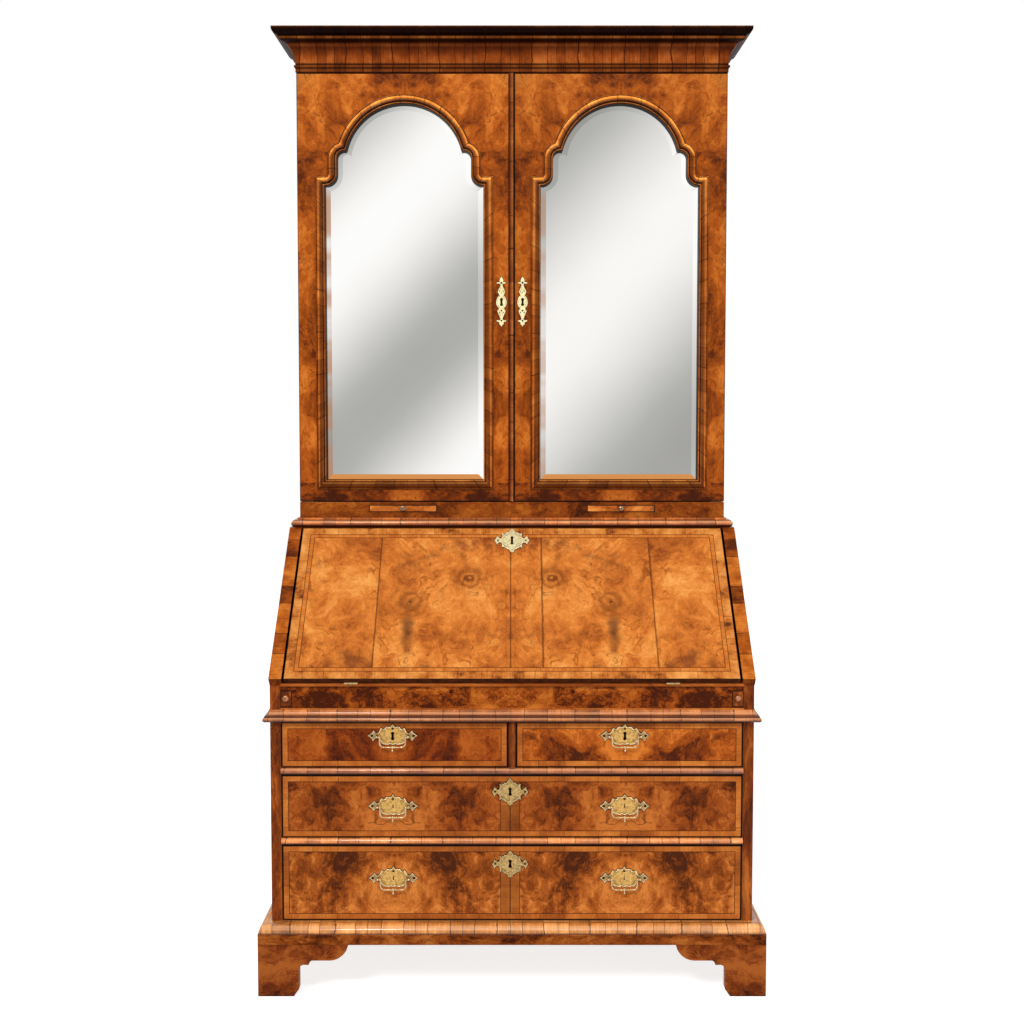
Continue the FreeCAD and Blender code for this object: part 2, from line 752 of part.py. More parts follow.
group("foot_front_left", foot("front_left", -1, -1))
group("foot_front_right", foot("front_right", 1, -1))
group("feet_rear", foot("rear_left", -1, 1) + foot("rear_right", 1, 1))

# Pigeonholes behind the fall: six above, and a shelf over two small drawers and a middle space
NEST_FRONT = FRONT + S.nest_front
NEST_SHELF = PIVOT_Z + S.nest_low
NEST_TOP = DESK_TOP - S.inner_board
NEST_CELLS = 6
nest_half = S.nest_board / 2
nest = [board("nest_shelf", (-INNER, INNER), (NEST_FRONT, BACK_FACE),
              (NEST_SHELF, NEST_SHELF + S.nest_board))]
for index in range(1, NEST_CELLS):
    middle = INNER * (2 * index / NEST_CELLS - 1)
    nest.append(board(f"nest_upright_{index}", (middle - nest_half, middle + nest_half),
                      (NEST_FRONT, BACK_FACE), (NEST_SHELF + S.nest_board, NEST_TOP)))
for name, sign in (("left", -1), ("right", 1)):
    middle = INNER / 3 * sign
    nest.append(board(f"nest_stile_{name}", (middle - nest_half, middle + nest_half),
                      (NEST_FRONT, BACK_FACE), (PIVOT_Z, NEST_SHELF)))
group("pigeonholes", nest)


neck_share, knob_sides = 0.5, 8
ball_shares = [(-0.86, 0.51), (-0.45, 0.89), (0, 1), (0.45, 0.89), (0.86, 0.51), (1, 0)]


def knob(x, y, z, radius, out):
    """A turned knob on a face at y, standing out towards the front."""
    profile = [(ZERO, radius * neck_share)]
    profile += [(out - radius + radius * along, radius * wide) for along, wide in ball_shares]
    return turned(at(x, y, z), FRONT_AXIS, profile, knob_sides)


for name, sign in (("left", -1), ("right", 1)):
    limits = between((INNER - S.nest_gap) * sign,
                     (INNER / 3 + nest_half + S.nest_gap) * sign)
    foot_z = PIVOT_Z + S.run_gap
    head_z = NEST_SHELF - S.nest_gap
    rear = BACK_FACE - S.nest_back_room
    thin = S.nest_drawer_board
    behind = NEST_FRONT + S.nest_drawer_front
    handle = doc.addObject("Part::Feature", f"nest_knob_{name}")
    handle.Shape = knob((limits[0] + limits[1]) / 2, NEST_FRONT, (foot_z + head_z) / 2,
                        S.nest_knob, S.nest_knob_out)
    group(f"nest_drawer_{name}", [
        board(f"nest_face_{name}", limits, (NEST_FRONT, behind), (foot_z, head_z)),
        board(f"nest_floor_{name}", (limits[0] + thin, limits[1] - thin), (behind, rear - thin),
              (foot_z, foot_z + thin)),
        board(f"nest_side_a_{name}", (limits[0], limits[0] + thin), (behind, rear),
              (foot_z, head_z)),
        board(f"nest_side_b_{name}", (limits[1] - thin, limits[1]), (behind, rear),
              (foot_z, head_z)),
        board(f"nest_rear_{name}", (limits[0] + thin, limits[1] - thin), (rear - thin, rear),
              (foot_z, head_z)),
        handle])

# Bookcase carcase
BOOK_INNER = BOOK_HALF - S.book_side
for name, sign in (("left", -1), ("right", 1)):
    outline = [(BOOK_INNER * sign, CARCASE_FRONT),
               ((BOOK_HALF - S.case_chamfer) * sign, CARCASE_FRONT),
               (BOOK_HALF * sign, CARCASE_FRONT + S.case_chamfer),
               (BOOK_HALF * sign, BACK), (BOOK_INNER * sign, BACK)]
    keep(pad(f"bookcase_side_{name}", "XY_Plane", [outline], DESK_TOP, CORNICE_FOOT))
keep(board("bookcase_back", (-BOOK_INNER, BOOK_INNER), (BACK_FACE, BACK),
           (DESK_TOP, CORNICE_FOOT)))
SHELVES = 3
BOOK_CLEAR = S.door_opening - S.inner_board * 2
shelves = []
for index in range(1, SHELVES + 1):
    level = DOOR_SILL + S.inner_board + BOOK_CLEAR * (index / (SHELVES + 1))
    shelves.append(board(f"shelf_{index}", (-BOOK_INNER, BOOK_INNER),
                         (CARCASE_FRONT + S.shelf_setback, BACK_FACE),
                         (level, level + S.shelf_thick)))
group("bookcase_shelves", shelves)

# Candle rail under the doors, with a slide each side in its own channel
candle_half = S.candle_width / 2
CANDLE_FOOT = DESK_TOP + S.candle_low
CANDLE_HEAD = CANDLE_FOOT + S.candle_height
CANDLE_REAR = BACK_FACE - S.candle_back_room
slots = []
channels = []
for name, sign in (("left", -1), ("right", 1)):
    middle = S.candle_place * sign
    low, high = middle - candle_half - S.run_gap, middle + candle_half + S.run_gap
    slots.append(rectangle(low, high, CANDLE_FOOT - S.run_gap, CANDLE_HEAD + S.run_gap))
    channels.append(pad(f"candle_channel_{name}", "XZ_Plane", [[
        (low - S.candle_cheek, DESK_TOP + S.inner_board),
        (high + S.candle_cheek, DESK_TOP + S.inner_board),
        (high + S.candle_cheek, CANDLE_HEAD), (high, CANDLE_HEAD),
        (high, CANDLE_FOOT - S.run_gap), (low, CANDLE_FOOT - S.run_gap), (low, CANDLE_HEAD),
        (low - S.candle_cheek, CANDLE_HEAD)]], CARCASE_FRONT, CANDLE_REAR))
    handle = doc.addObject("Part::Feature", f"candle_knob_{name}")
    handle.Shape = knob(middle, BOOK_FRONT, (CANDLE_FOOT + CANDLE_HEAD) / 2, S.candle_knob,
                        S.candle_knob_out)
    group(f"candle_slide_{name}", [
        board(f"candle_board_{name}", (middle - candle_half, middle + candle_half),
              (BOOK_FRONT, CANDLE_REAR), (CANDLE_FOOT, CANDLE_HEAD)), handle])
LID_HALF = BOOK_HALF - S.cornice_backing
group("bookcase_decks", [
    board("book_bottom", (-BOOK_INNER, BOOK_INNER), (CARCASE_FRONT, BACK_FACE),
          (DESK_TOP, DESK_TOP + S.inner_board)),
    board("book_floor", (-BOOK_INNER, BOOK_INNER), (CARCASE_FRONT, BACK_FACE),
          (DOOR_SILL, DOOR_SILL + S.inner_board)),
    board("book_top", (-BOOK_INNER, BOOK_INNER), (CARCASE_FRONT, BACK_FACE),
          (CORNICE_FOOT - S.inner_board, CORNICE_FOOT)),
    board("cornice_lid", (-LID_HALF, LID_HALF),
          (BOOK_FRONT + S.cornice_backing, BACK - S.cornice_rail),
          (CORNICE_TOP - S.cornice_lid, CORNICE_TOP)),
    board("cornice_rail", (-LID_HALF, LID_HALF), (BACK - S.cornice_rail, BACK),
          (CORNICE_FOOT, CORNICE_TOP))] + channels)
rail_outline = rectangle(-BOOK_HALF, BOOK_HALF, DESK_TOP, DOOR_SILL)
keep(pad("candle_rail", "XZ_Plane", [rail_outline] + slots, BOOK_FRONT, CARCASE_FRONT))

# Lopers, which draw out to carry the open fall
for name, sign in (("left", -1), ("right", 1)):
    limits = between((LOPER_IN + S.run_gap) * sign, (INNER - S.run_gap) * sign)
    handle = doc.addObject("Part::Feature", f"loper_knob_{name}")
    handle.Shape = knob((limits[0] + limits[1]) / 2, FRONT, LOPER_FOOT + S.loper_knob_low,
                        S.loper_knob, S.loper_knob_out)
    group(f"loper_{name}", [
        board(f"loper_bar_{name}", limits, (FRONT, FRONT + S.loper_length),
              (LOPER_FOOT, LOPER_FOOT + S.loper_height)), handle])


def slotted(x, y, radius, half=ZERO):
    """An upright slot with eight corners that a round bar of that radius just fits."""
    flat = radius * EIGHTH
    return [(x + radius, y - half - flat), (x + radius, y + half + flat),
            (x + flat, y + half + radius), (x - flat, y + half + radius),
            (x - radius, y + half + flat), (x - radius, y - half - flat),
            (x - flat, y - half - radius), (x + flat, y - half - radius)]


def key_slot(x, y):
    """The slot that a keyhole leaves in the wood behind its plate."""
    return slotted(x, y, S.key_radius, S.key_half)


# The sloping fall, made flat and then tilted about its hinge line
FALL_HALF = HALF - S.edging_width - S.fall_side_gap
FALL_LONG = SLOPE_LONG - S.fall_top_gap
FALL_LOCK = SLOPE_LONG - S.fall_lock_down
SLOPE_ANGLE = f"atan({S.slope_rise.text} / {S.slope_run.text})"
slope_degrees = math.degrees(math.atan2(S.slope_rise.value, S.slope_run.value))


def tilt(item):
    item.Placement = Placement(Vector(0, 0, 0), Rotation(Vector(1, 0, 0), slope_degrees))
    item.setExpression(".Placement.Rotation.Angle", SLOPE_ANGLE)
    return place(item, y=PIVOT_Y, z=PIVOT_Z)


fall = pad("fall_panel", "XY_Plane",
           [rectangle(-FALL_HALF, FALL_HALF, ZERO, FALL_LONG)], ZERO, S.fall_thick)
pocket(fall, "XY_Plane", [key_slot(ZERO, FALL_LOCK)], ZERO)
lock_half = S.lock_wide / 2
pocket(fall, "XY_Plane", [rectangle(-lock_half, lock_half, FALL_LOCK - S.lock_high / 2,
                                    FALL_LOCK + S.lock_high / 2)], ZERO, S.hinge_leaf)
for sign in (-1, 1):
    left = S.hinge_place * sign - hinge_half - S.run_gap
    wide = S.hinge_length + S.run_gap * 2
    reach = S.hinge_knuckle + S.run_gap
    pocket(fall, "YZ_Plane", [rectangle(-reach, reach, -reach, reach)], left, wide)
    pocket(fall, "YZ_Plane", [rectangle(ZERO, S.hinge_reach + S.run_gap, -S.hinge_leaf,
                                        S.hinge_leaf)], left, wide)
keep(tilt(fall))


hollow_chords, lobe_chords, arch_chords = 3, 3, 10


def swing(x, z, radius, start, finish, chords):
    """Points along an arc, after its start and up to its end."""
    turn = (finish - start) / chords
    return [(x + radius * math.cos(start + turn * step), z + radius * math.sin(start + turn * step))
            for step in range(1, chords + 1)]


def arch_points(centre, out, lobe=None):
    """The mirror's sight line moved out by a distance: an arch, two lobes and square shoulders.

    Moved inwards, the flat of each shoulder closes up and the lobes have a radius of their own."""
    out = value_of(out)
    side = value_of(SIGHT_HALF) + out
    foot_z = value_of(DOOR_SILL + S.sight_foot)
    spring = foot_z + value_of(S.arch_spring)
    hollow_x = value_of(SIGHT_HALF - S.shoulder_flat)
    hollow_z = spring - value_of(S.hollow_drop)
    hollow = value_of(S.hollow_radius) - out
    lobe = value_of(S.lobe_radius) + out if lobe is None else value_of(lobe)
    lobe_x = hollow_x - hollow - lobe
    lobe_rise = value_of(S.lobe_rise)
    arch = value_of(SIGHT_HALF - S.arch_inset) + out
    apart = math.hypot(lobe_x, lobe_rise)
    along = (apart * apart + arch * arch - lobe * lobe) / (2 * apart)
    cusp = math.atan2(lobe_rise, lobe_x) + math.acos(along / arch)
    cusp_x, cusp_z = arch * math.cos(cusp), spring + arch * math.sin(cusp)
    lobe_end = math.atan2(cusp_z - spring - lobe_rise, cusp_x - lobe_x)
    inset = min(side - hollow_x, 0.0)
    start = math.atan2(-math.sqrt(hollow * hollow - inset * inset), inset)
    shoulder = hollow_z + hollow * math.sin(start)
    right = [(side, shoulder), (hollow_x + inset, shoulder)]
    right += swing(hollow_x, hollow_z, hollow, start, -math.pi, hollow_chords)
    right.append((hollow_x - hollow, spring + lobe_rise))
    right += swing(lobe_x, spring + lobe_rise, lobe, 0, lobe_end, lobe_chords)
    top = swing(0, spring, arch, cusp, math.pi - cusp, arch_chords)[:-1]
    left = [(-x, z) for x, z in reversed(right)]
    outline = [(-side, foot_z - out), (side, foot_z - out)] + right + top + left
    return [(value_of(centre) + x, z) for x, z in outline]


def upright(points, y):
    """A ring of (x, z) points, standing at one y."""
    return [at(x, y, z) for x, z in points]


def plate_between(points, front, back):
    """A flat plate standing between two depths."""
    return facet(upright(points, front)).extrude(at(ZERO, back - front, ZERO))


# Each door: frame with its back board, the sash moulding round the mirror, the bevelled mirror
sash_shares = [(0, 0.3), (0.32, 0.26), (0.5, 0.7), (0.66, 1), (0.82, 0.74),
               (0.89, 0.36), (1, 0.36), (1, 0)]


def sash_moulding(centre):
    lip = BOOK_FRONT + S.frame_lip - S.glass_gap
    stations = [(ZERO, lip)]
    stations += [(S.sash_wide * wide, BOOK_FRONT - S.sash_out * out) for wide, out in sash_shares]
    stations += [(S.frame_lap, BOOK_FRONT), (S.frame_lap, lip)]
    return lofted([upright(arch_points(centre, wide), y) for wide, y in stations], True)


def mirror(centre):
    """A plate of glass, its front bevelled all round towards the edge."""
    front = BOOK_FRONT + S.frame_lip
    rim = arch_points(centre, S.rebate_wide - S.glass_gap)
    inner = arch_points(centre, -S.bevel_sight, S.bevel_lobe)
    return lofted([upright(inner, front), upright(rim, front + S.bevel_deep),
                   upright(rim, front + S.glass_thick)])


key_sides = 8


def key_tools(x, z, face):
    """The tools that cut a keyhole: two round ends and the narrower waist that joins them."""
    front, back = face - S.plate_thick * 2, face + S.plate_thick
    ends = [drilled(at(x, front, z + S.key_half * sign), BACK_AXIS, back - front,
                    S.key_radius, key_sides) for sign in (-1, 1)]
    waist = Part.makeBox(value_of(S.key_waist * 2), value_of(back - front),
                         value_of(S.key_half * 2), at(x - S.key_waist, front, z - S.key_half))
    return ends + [waist]


handle_shares = [
    (0, 1), (0.087, 0.743), (0.165, 0.793), (0.26, 0.81), (0.323, 0.646), (0.375, 0.629),
    (0.448, 0.759), (0.496, 0.62), (0.542, 0.38), (0.637, 0.224), (0.756, 0.502),
    (0.842, 0.253), (1, 0.025), (0.873, -0.152), (0.771, -0.43), (0.685, -0.249),
    (0.596, -0.207), (0.519, -0.316), (0.471, -0.549), (0.385, -0.726), (0.29, -0.743),
    (0.196, -0.785), (0.102, -0.717), (0, -0.785)]
scutcheon_shares = [
    (0, 0.927), (0.145, 0.719), (0.197, 0.593), (0.3, 0.634), (0.376, 0.511), (0.47, 0.489),
    (0.531, 0.552), (0.59, 0.489), (0.557, 0.322), (0.606, 0.158), (0.674, 0.126),
    (0.762, 0.24), (0.873, 0.322), (0.915, 0.114), (1, 0), (0.933, -0.136), (0.847, -0.344),
    (0.795, -0.24), (0.71, -0.158), (0.59, -0.218), (0.573, -0.385), (0.59, -0.53),
    (0.531, -0.562), (0.487, -0.489), (0.368, -0.574), (0.25, -0.66), (0.145, -0.729),
    (0.145, -0.842), (0.06, -0.874), (0, -1)]
door_plate_shares = [
    (0, 1), (0.224, 0.929), (0.408, 0.848), (0.296, 0.792), (0.6, 0.775), (0.93, 0.755),
    (0.9, 0.715), (0.48, 0.72), (0.224, 0.68), (0.184, 0.649), (0.48, 0.519), (0.704, 0.4),
    (0.56, 0.31), (0.4, 0.256), (0.776, 0.183), (1, 0.024), (0.96, -0.104), (0.704, -0.2),
    (0.48, -0.247), (0.776, -0.344), (0.632, -0.439), (0.184, -0.664), (0.48, -0.713),
    (0.93, -0.7), (0.88, -0.765), (0.408, -0.79), (0.408, -0.872), (0.184, -0.905), (0, -0.976)]


def pierced_plate(half_outline, x, z, wide, high, face, tools):
    """A thin brass plate on a face at y, drawn from its right half, with its holes cut through."""
    halves = half_outline + [(-along, up) for along, up in half_outline[-2:0:-1]]
    points = [(value_of(x + wide * along), value_of(z + high * up)) for along, up in halves]
    plate = plate_between(points, face - S.plate_thick, face)
    for tool in tools:
        plate = plate.cut(tool)
    return plate


DOOR_LOCK = DOOR_SILL + S.door_lock_up
PIVOT_X = BOOK_HALF - S.pivot_inset
PIVOT_DOOR = BOOK_FRONT + S.door_thick - S.pivot_inset
DOOR_BACK = BOOK_FRONT + S.door_thick
bead_half = S.astragal_wide / 2
astragal_radius = (bead_half * bead_half + S.astragal_out * S.astragal_out) / (
    S.astragal_out * 2)
for name, sign in (("left", -1), ("right", 1)):
    meeting = S.door_split + S.door_edge_gap / 2 * sign
    limits = between(BOOK_HALF * sign, meeting)
    centre = SIGHT_CENTRE * sign
    lock_x = S.door_plate_inset * sign
    inset = S.pivot_inset
    edge_x = BOOK_HALF * sign
    slab = pad(f"door_slab_{name}", "XZ_Plane",
               [rectangle(limits[0], limits[1], DOOR_FOOT, DOOR_HEAD)], BOOK_FRONT, DOOR_BACK)
    pocket(slab, "XZ_Plane", [key_slot(lock_x, DOOR_LOCK)], ZERO)
    pocket(slab, "XZ_Plane", [rectangle(lock_x - S.door_lock_wide / 2,
                                        lock_x + S.door_lock_wide / 2,
                                        DOOR_LOCK - S.door_lock_high / 2,
                                        DOOR_LOCK + S.door_lock_high / 2)], ZERO, S.lock_deep)
    corner = [(edge_x - inset * sign, ZERO, inset, sign), (edge_x, ZERO), (edge_x, -inset)]
    pocket(slab, "XY_Plane", [corner], ZERO)
    bore = slotted(PIVOT_X * sign, -inset, S.pivot_pin + S.pin_gap)
    pocket(slab, "XY_Plane", [bore], DOOR_FOOT, S.pivot_depth)
    pocket(slab, "XY_Plane", [bore], DOOR_HEAD - S.pivot_depth, S.pivot_depth)
    rebate_front = BOOK_FRONT + S.frame_lip
    glass_back = rebate_front + S.glass_thick
    sight = shaped(f"door_sight_{name}", [plate_between(arch_points(centre, S.frame_lap),
                                                        BOOK_FRONT - S.door_thick, DOOR_BACK)])
    rebate = shaped(f"door_rebate_{name}", [plate_between(arch_points(centre, S.rebate_wide),
                                                          rebate_front,
                                                          DOOR_BACK + S.door_thick)])
    door = cut_by(f"door_panel_{name}", cut_by(f"door_pierced_{name}", slab, sight), rebate)
    rim = arch_points(centre, S.rebate_wide - S.glass_gap)
    backing = shaped(f"mirror_board_{name}", [plate_between(rim, glass_back,
                                                            glass_back + S.glass_board)])
    group(f"door_frame_{name}", [door, backing])
    keep(shaped(f"door_mirror_{name}", [mirror(centre)]))
    mouldings = [shaped(f"sash_{name}", [sash_moulding(centre)])]
    if sign == -1:
        mouldings.append(pad("meeting_bead", "XY_Plane",
                             [[(meeting - S.astragal_wide, BOOK_FRONT),
                               (meeting, BOOK_FRONT, astragal_radius, 1)]],
                             DOOR_FOOT, DOOR_HEAD))
    group(f"door_sash_{name}", mouldings)
    lock = Part.makeBox(value_of(S.door_lock_wide), value_of(S.lock_deep),
                        value_of(S.door_lock_high),
                        at(lock_x - S.door_lock_wide / 2, DOOR_BACK - S.lock_deep,
                           DOOR_LOCK - S.door_lock_high / 2))
    plate = pierced_plate(door_plate_shares, lock_x, DOOR_LOCK, S.door_plate_half_wide,
                          S.door_plate_half_high, BOOK_FRONT,
                          key_tools(lock_x, DOOR_LOCK, BOOK_FRONT))
    keep(shaped(f"door_brasses_{name}", [plate, lock]))

barrel_sides, rod_sides = 8, 6


def hinge_part(place_x, segments, side):
    """Knuckles on the X axis at the origin and a leaf lying towards +Y, on one side of it."""
    third = S.hinge_length / 3
    knuckle = S.hinge_knuckle
    solids = []
    for segment in segments:
        low = place_x + third * (segment - 0.5) + (S.run_gap / 2 if segment != -1 else ZERO)
        high = place_x + third * (segment + 0.5) - (S.run_gap / 2 if segment != 1 else ZERO)
        solids.append(turned(at(low, ZERO, ZERO), WIDTH_AXIS,
                             [(ZERO, knuckle), (high - low, knuckle)], barrel_sides))
        solids.append(Part.makeBox(value_of(high - low), value_of(knuckle * 2),
                                   value_of(S.hinge_leaf),
                                   at(low, ZERO, ZERO if side == 1 else -S.hinge_leaf)))
    clear = knuckle + S.hinge_leaf
    leaf = Part.makeBox(value_of(S.hinge_length), value_of(S.hinge_reach - clear),
                        value_of(S.hinge_leaf),
                        at(place_x - S.hinge_length / 2, clear,
                           ZERO if side == 1 else -S.hinge_leaf))
    for solid in solids:
        leaf = leaf.fuse(solid)
    return leaf


# Hinges and pivots that stay with the carcase
fittings = []
for sign in (-1, 1):
    place_x = S.hinge_place * sign
    pin = turned(at(place_x - S.hinge_length / 2, ZERO, ZERO), WIDTH_AXIS,
                 [(ZERO, S.hinge_pin), (S.hinge_length, S.hinge_pin)], barrel_sides)
    leaf = hinge_part(place_x, (-1, 1), -1).fuse(pin)
    leaf.translate(at(ZERO, PIVOT_Y, PIVOT_Z))
    fittings.append(leaf)
    plate_x = between(BOOK_HALF * sign, (BOOK_HALF - S.pivot_plate_long) * sign)[0]
    for level, up in ((DOOR_SILL, 1), (CORNICE_FOOT, -1)):
        foot_z = level if up == 1 else level - S.pivot_plate
        plate = Part.makeBox(value_of(S.pivot_plate_long), value_of(S.pivot_plate_wide),
                             value_of(S.pivot_plate),
                             at(plate_x, DOOR_BACK - S.pivot_plate_wide, foot_z))
        long = S.door_edge_gap + S.pivot_depth - S.run_gap
        pin = turned(at(PIVOT_X * sign, PIVOT_DOOR, level), UP_AXIS * up,
                     [(ZERO, S.pivot_pin), (long, S.pivot_pin)], rod_sides)
        fittings.append(plate.fuse(pin))
keep(shaped("case_hinges", fittings))

# Brass of the fall: its plate, its lock and the leaves that turn with it, made flat and tilted
fall_parts = []
for sign in (-1, 1):
    place_x = S.hinge_place * sign
    leaf = hinge_part(place_x, (0,), 1)
    bore = drilled(at(place_x - S.hinge_length / 2, ZERO, ZERO), WIDTH_AXIS, S.hinge_length,
                   S.hinge_pin + S.pin_gap, barrel_sides)
    fall_parts.append(leaf.cut(bore))
fall_parts.append(Part.makeBox(value_of(S.lock_wide), value_of(S.lock_high),
                               value_of(S.hinge_leaf),
                               at(-lock_half, FALL_LOCK - S.lock_high / 2, 0)))
plate = pierced_plate(scutcheon_shares, ZERO, ZERO, S.scutcheon_half_wide,
                      S.fall_scutcheon_half_high, ZERO, key_tools(ZERO, ZERO, ZERO))
plate.rotate(Vector(0, 0, 0), Vector(1, 0, 0), -90)
plate.translate(at(0, FALL_LOCK, S.fall_thick))
fall_parts.append(plate)
keep(tilt(shaped("fall_brasses", fall_parts)))


head_shares = [(-1, 0.35), (-0.72, 0.75), (0, 1), (0.72, 0.75)]


def post(x, z, face):
    """A ball-headed post that carries one end of a bail, its shank and the nut behind."""
    head = at(x, face - S.post_out, z)
    behind = S.post_out + S.drawer_front
    rear = behind + S.nut_thick
    ball = S.post_ball
    profile = [(ball * along, ball * wide) for along, wide in head_shares]
    profile += [(ball, S.post_neck), (S.post_out, S.post_neck), (S.post_out, S.post_shank),
                (behind, S.post_shank), (behind, S.nut_radius), (rear, S.nut_radius)]
    eye = drilled(head - at(ball, ZERO, ZERO), WIDTH_AXIS, ball * 2, S.bail_pin + S.pin_gap,
                  rod_sides)
    return turned(head, BACK_AXIS, profile, rod_sides).cut(eye)


baluster_shares = [(0, 0.5), (0.24, 1), (0.6, 0.45), (0.78, 0.8), (0.9, 0.75), (1, 0)]
baluster_above_share = 0.28
bail_sides, bend_chords = 6, 2


def rod(path, sides):
    """A rod with flat sides along (x, z, radius) points at y zero, mitred where it bends."""
    spots = [at(x, ZERO, z) for x, z, radius in path]
    rings = []
    for index, (spot, (x, z, radius)) in enumerate(zip(spots, path)):
        before = (spot - spots[index - 1]).normalize() if index else None
        after = (spots[index + 1] - spot).normalize() if index + 1 < len(spots) else None
        ahead = after or before
        onward = ((before or ahead) + ahead).normalize()
        stretch = 1 / onward.dot(ahead)
        inward = onward.cross(BACK_AXIS) * stretch
        angles = [math.tau * (step + 0.5) / sides for step in range(sides)]
        rings.append([spot + (inward * math.cos(angle) + BACK_AXIS * math.sin(angle))
                      * value_of(radius) for angle in angles])
    return lofted(rings)


def bail(x, z, face):
    """A loop hanging from two posts on its pins, with a small turned drop in the middle."""
    half, drop, bend = value_of(S.bail_half), value_of(S.bail_drop), value_of(S.bail_corner)
    thick, pin, gap = value_of(S.bail_rod), value_of(S.bail_pin), value_of(S.run_gap)
    right = [(value_of(S.post_half), 0, pin), (half + thick + gap * 2, 0, pin),
             (half + thick, 0, thick), (half, 0, thick), (half, bend - drop, thick)]
    right += [(px, pz, thick) for px, pz in
              swing(half - bend, bend - drop, bend, 0, -math.pi / 2, bend_chords)]
    path = right + [(-px, pz, radius) for px, pz, radius in reversed(right)]
    top = S.baluster_long * baluster_above_share - S.bail_drop
    drop_piece = turned(at(ZERO, ZERO, top), -UP_AXIS,
                        [(S.baluster_long * down, S.baluster_fat * wide)
                         for down, wide in baluster_shares], bail_sides)
    whole = rod(path, bail_sides).fuse(drop_piece)
    whole.translate(at(x, face - S.post_out, z))
    return whole


# Drawers: a veneered front, an oak box behind it, its brass and the bails on its posts
LEFT_END, RIGHT_END = -INNER + S.drawer_gap, INNER - S.drawer_gap
MIDDLE_END = divider_half + S.drawer_gap
DRAWERS = [
    ("top_left", (LEFT_END, -MIDDLE_END), TOP_FLOOR, S.opening_high, S.top_handle_up,
     [("bail_top_left", -S.handle_left)], False),
    ("top_right", (MIDDLE_END, RIGHT_END), TOP_FLOOR, S.opening_high, S.top_handle_up,
     [("bail_top_right", S.handle_right)], False),
    ("middle", (LEFT_END, RIGHT_END), MIDDLE_FLOOR, S.opening_middle, S.middle_handle_up,
     [("bail_middle_left", -S.handle_left), ("bail_middle_right", S.handle_right)], True),
    ("bottom", (LEFT_END, RIGHT_END), PLINTH_TOP, S.opening_low, S.bottom_handle_up,
     [("bail_bottom_left", -S.handle_left), ("bail_bottom_right", S.handle_right)], True)]
for name, ends, floor, opening, handle_up, handles, has_scutcheon in DRAWERS:
    rise = floor + handle_up
    behind = FRONT + S.drawer_front
    rear = BACK_FACE - S.drawer_back_room
    foot_z = floor + S.run_gap
    head_z = floor + opening - S.drawer_head_room
    front = pad(f"drawer_front_{name}", "XZ_Plane",
                [rectangle(ends[0], ends[1], floor + S.drawer_gap,
                           floor + opening - S.drawer_gap)], FRONT, behind)
    holes = []
    brass = []
    locks = []
    for label, x in handles:
        eyes = []
        for sign in (-1, 1):
            holes.append(slotted(x + S.post_half * sign, rise, S.post_shank + S.run_gap))
            eyes.append(turned(at(x + S.post_half * sign, FRONT - S.plate_thick * 2, rise),
                               BACK_AXIS, [(ZERO, S.post_neck), (S.post_out, S.post_neck)],
                               rod_sides))
            brass.append(post(x + S.post_half * sign, rise, FRONT))
        if not has_scutcheon:
            locks.append((x, rise))
            eyes += key_tools(x, rise, FRONT)
        brass.append(pierced_plate(handle_shares, x, rise, S.handle_half_wide, S.handle_rise,
                                   FRONT, eyes))
        keep(shaped(label, [bail(x, rise, FRONT)]))
    if has_scutcheon:
        spot = (-S.scutcheon_shift, rise + S.scutcheon_lift)
        locks.append(spot)
        brass.append(pierced_plate(scutcheon_shares, spot[0], spot[1], S.scutcheon_half_wide,
                                   S.scutcheon_half_high, FRONT,
                                   key_tools(spot[0], spot[1], FRONT)))
    for x, z in locks:
        holes.append(key_slot(x, z))
        lock_top = head_z if value_of(z + S.lock_high / 2) > value_of(head_z) else (
            z + S.lock_high / 2)
        brass.append(Part.makeBox(value_of(S.lock_wide), value_of(S.lock_deep),
                                  value_of(S.lock_high),
                                  at(x - lock_half, behind, lock_top - S.lock_high)))
    pocket(front, "XZ_Plane", holes, ZERO)
    keep(front)
    keep(shaped(f"drawer_brasses_{name}", brass))
    side = S.drawer_side
    group(f"drawer_box_{name}", [
        board(f"box_side_a_{name}", (ends[0], ends[0] + side), (behind, rear), (foot_z, head_z)),
        board(f"box_side_b_{name}", (ends[1] - side, ends[1]), (behind, rear), (foot_z, head_z)),
        board(f"box_rear_{name}", (ends[0] + side, ends[1] - side), (rear - side, rear),
              (foot_z + S.drawer_bottom, head_z)),
        board(f"box_bottom_{name}", (ends[0] + side, ends[1] - side), (behind, rear),
              (foot_z, foot_z + S.drawer_bottom))])

doc.recompute()
faults = [item.Name for item in doc.Objects if {"Invalid", "Error"} & set(item.State)]
faults += [item.Label for item in SUBPARTS if item.Shape.isNull() or not item.Shape.isValid()]
if faults:
    raise RuntimeError(f"objects that did not build: {faults}")
for item in SUBPARTS:
    item.Shape.exportStep(f"parts/{item.Label}.step")
    box = item.Shape.BoundBox
    print(item.Label, len(item.Shape.Solids), round(item.Shape.Volume / 1000),
          [round(edge, 1) for edge in (box.XMin, box.XMax, box.YMin, box.YMax, box.ZMin, box.ZMax)])
print(len(SUBPARTS), "sub-parts")
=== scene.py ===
# %% [markdown]
# # A walnut bureau bookcase, dressed for its picture
# A slope-front writing bureau stands on bracket feet and carries a bookcase with two mirrored
# doors. Its carcase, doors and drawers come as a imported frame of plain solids, each already in
# its place, in metres. This script lays veneer on them, and swaps the plain brasses, knobs,
# sash mouldings and mirrors for finer ones that ride on the same bodies.

# %% Load the frame
import json
import math
from functools import partialmethod

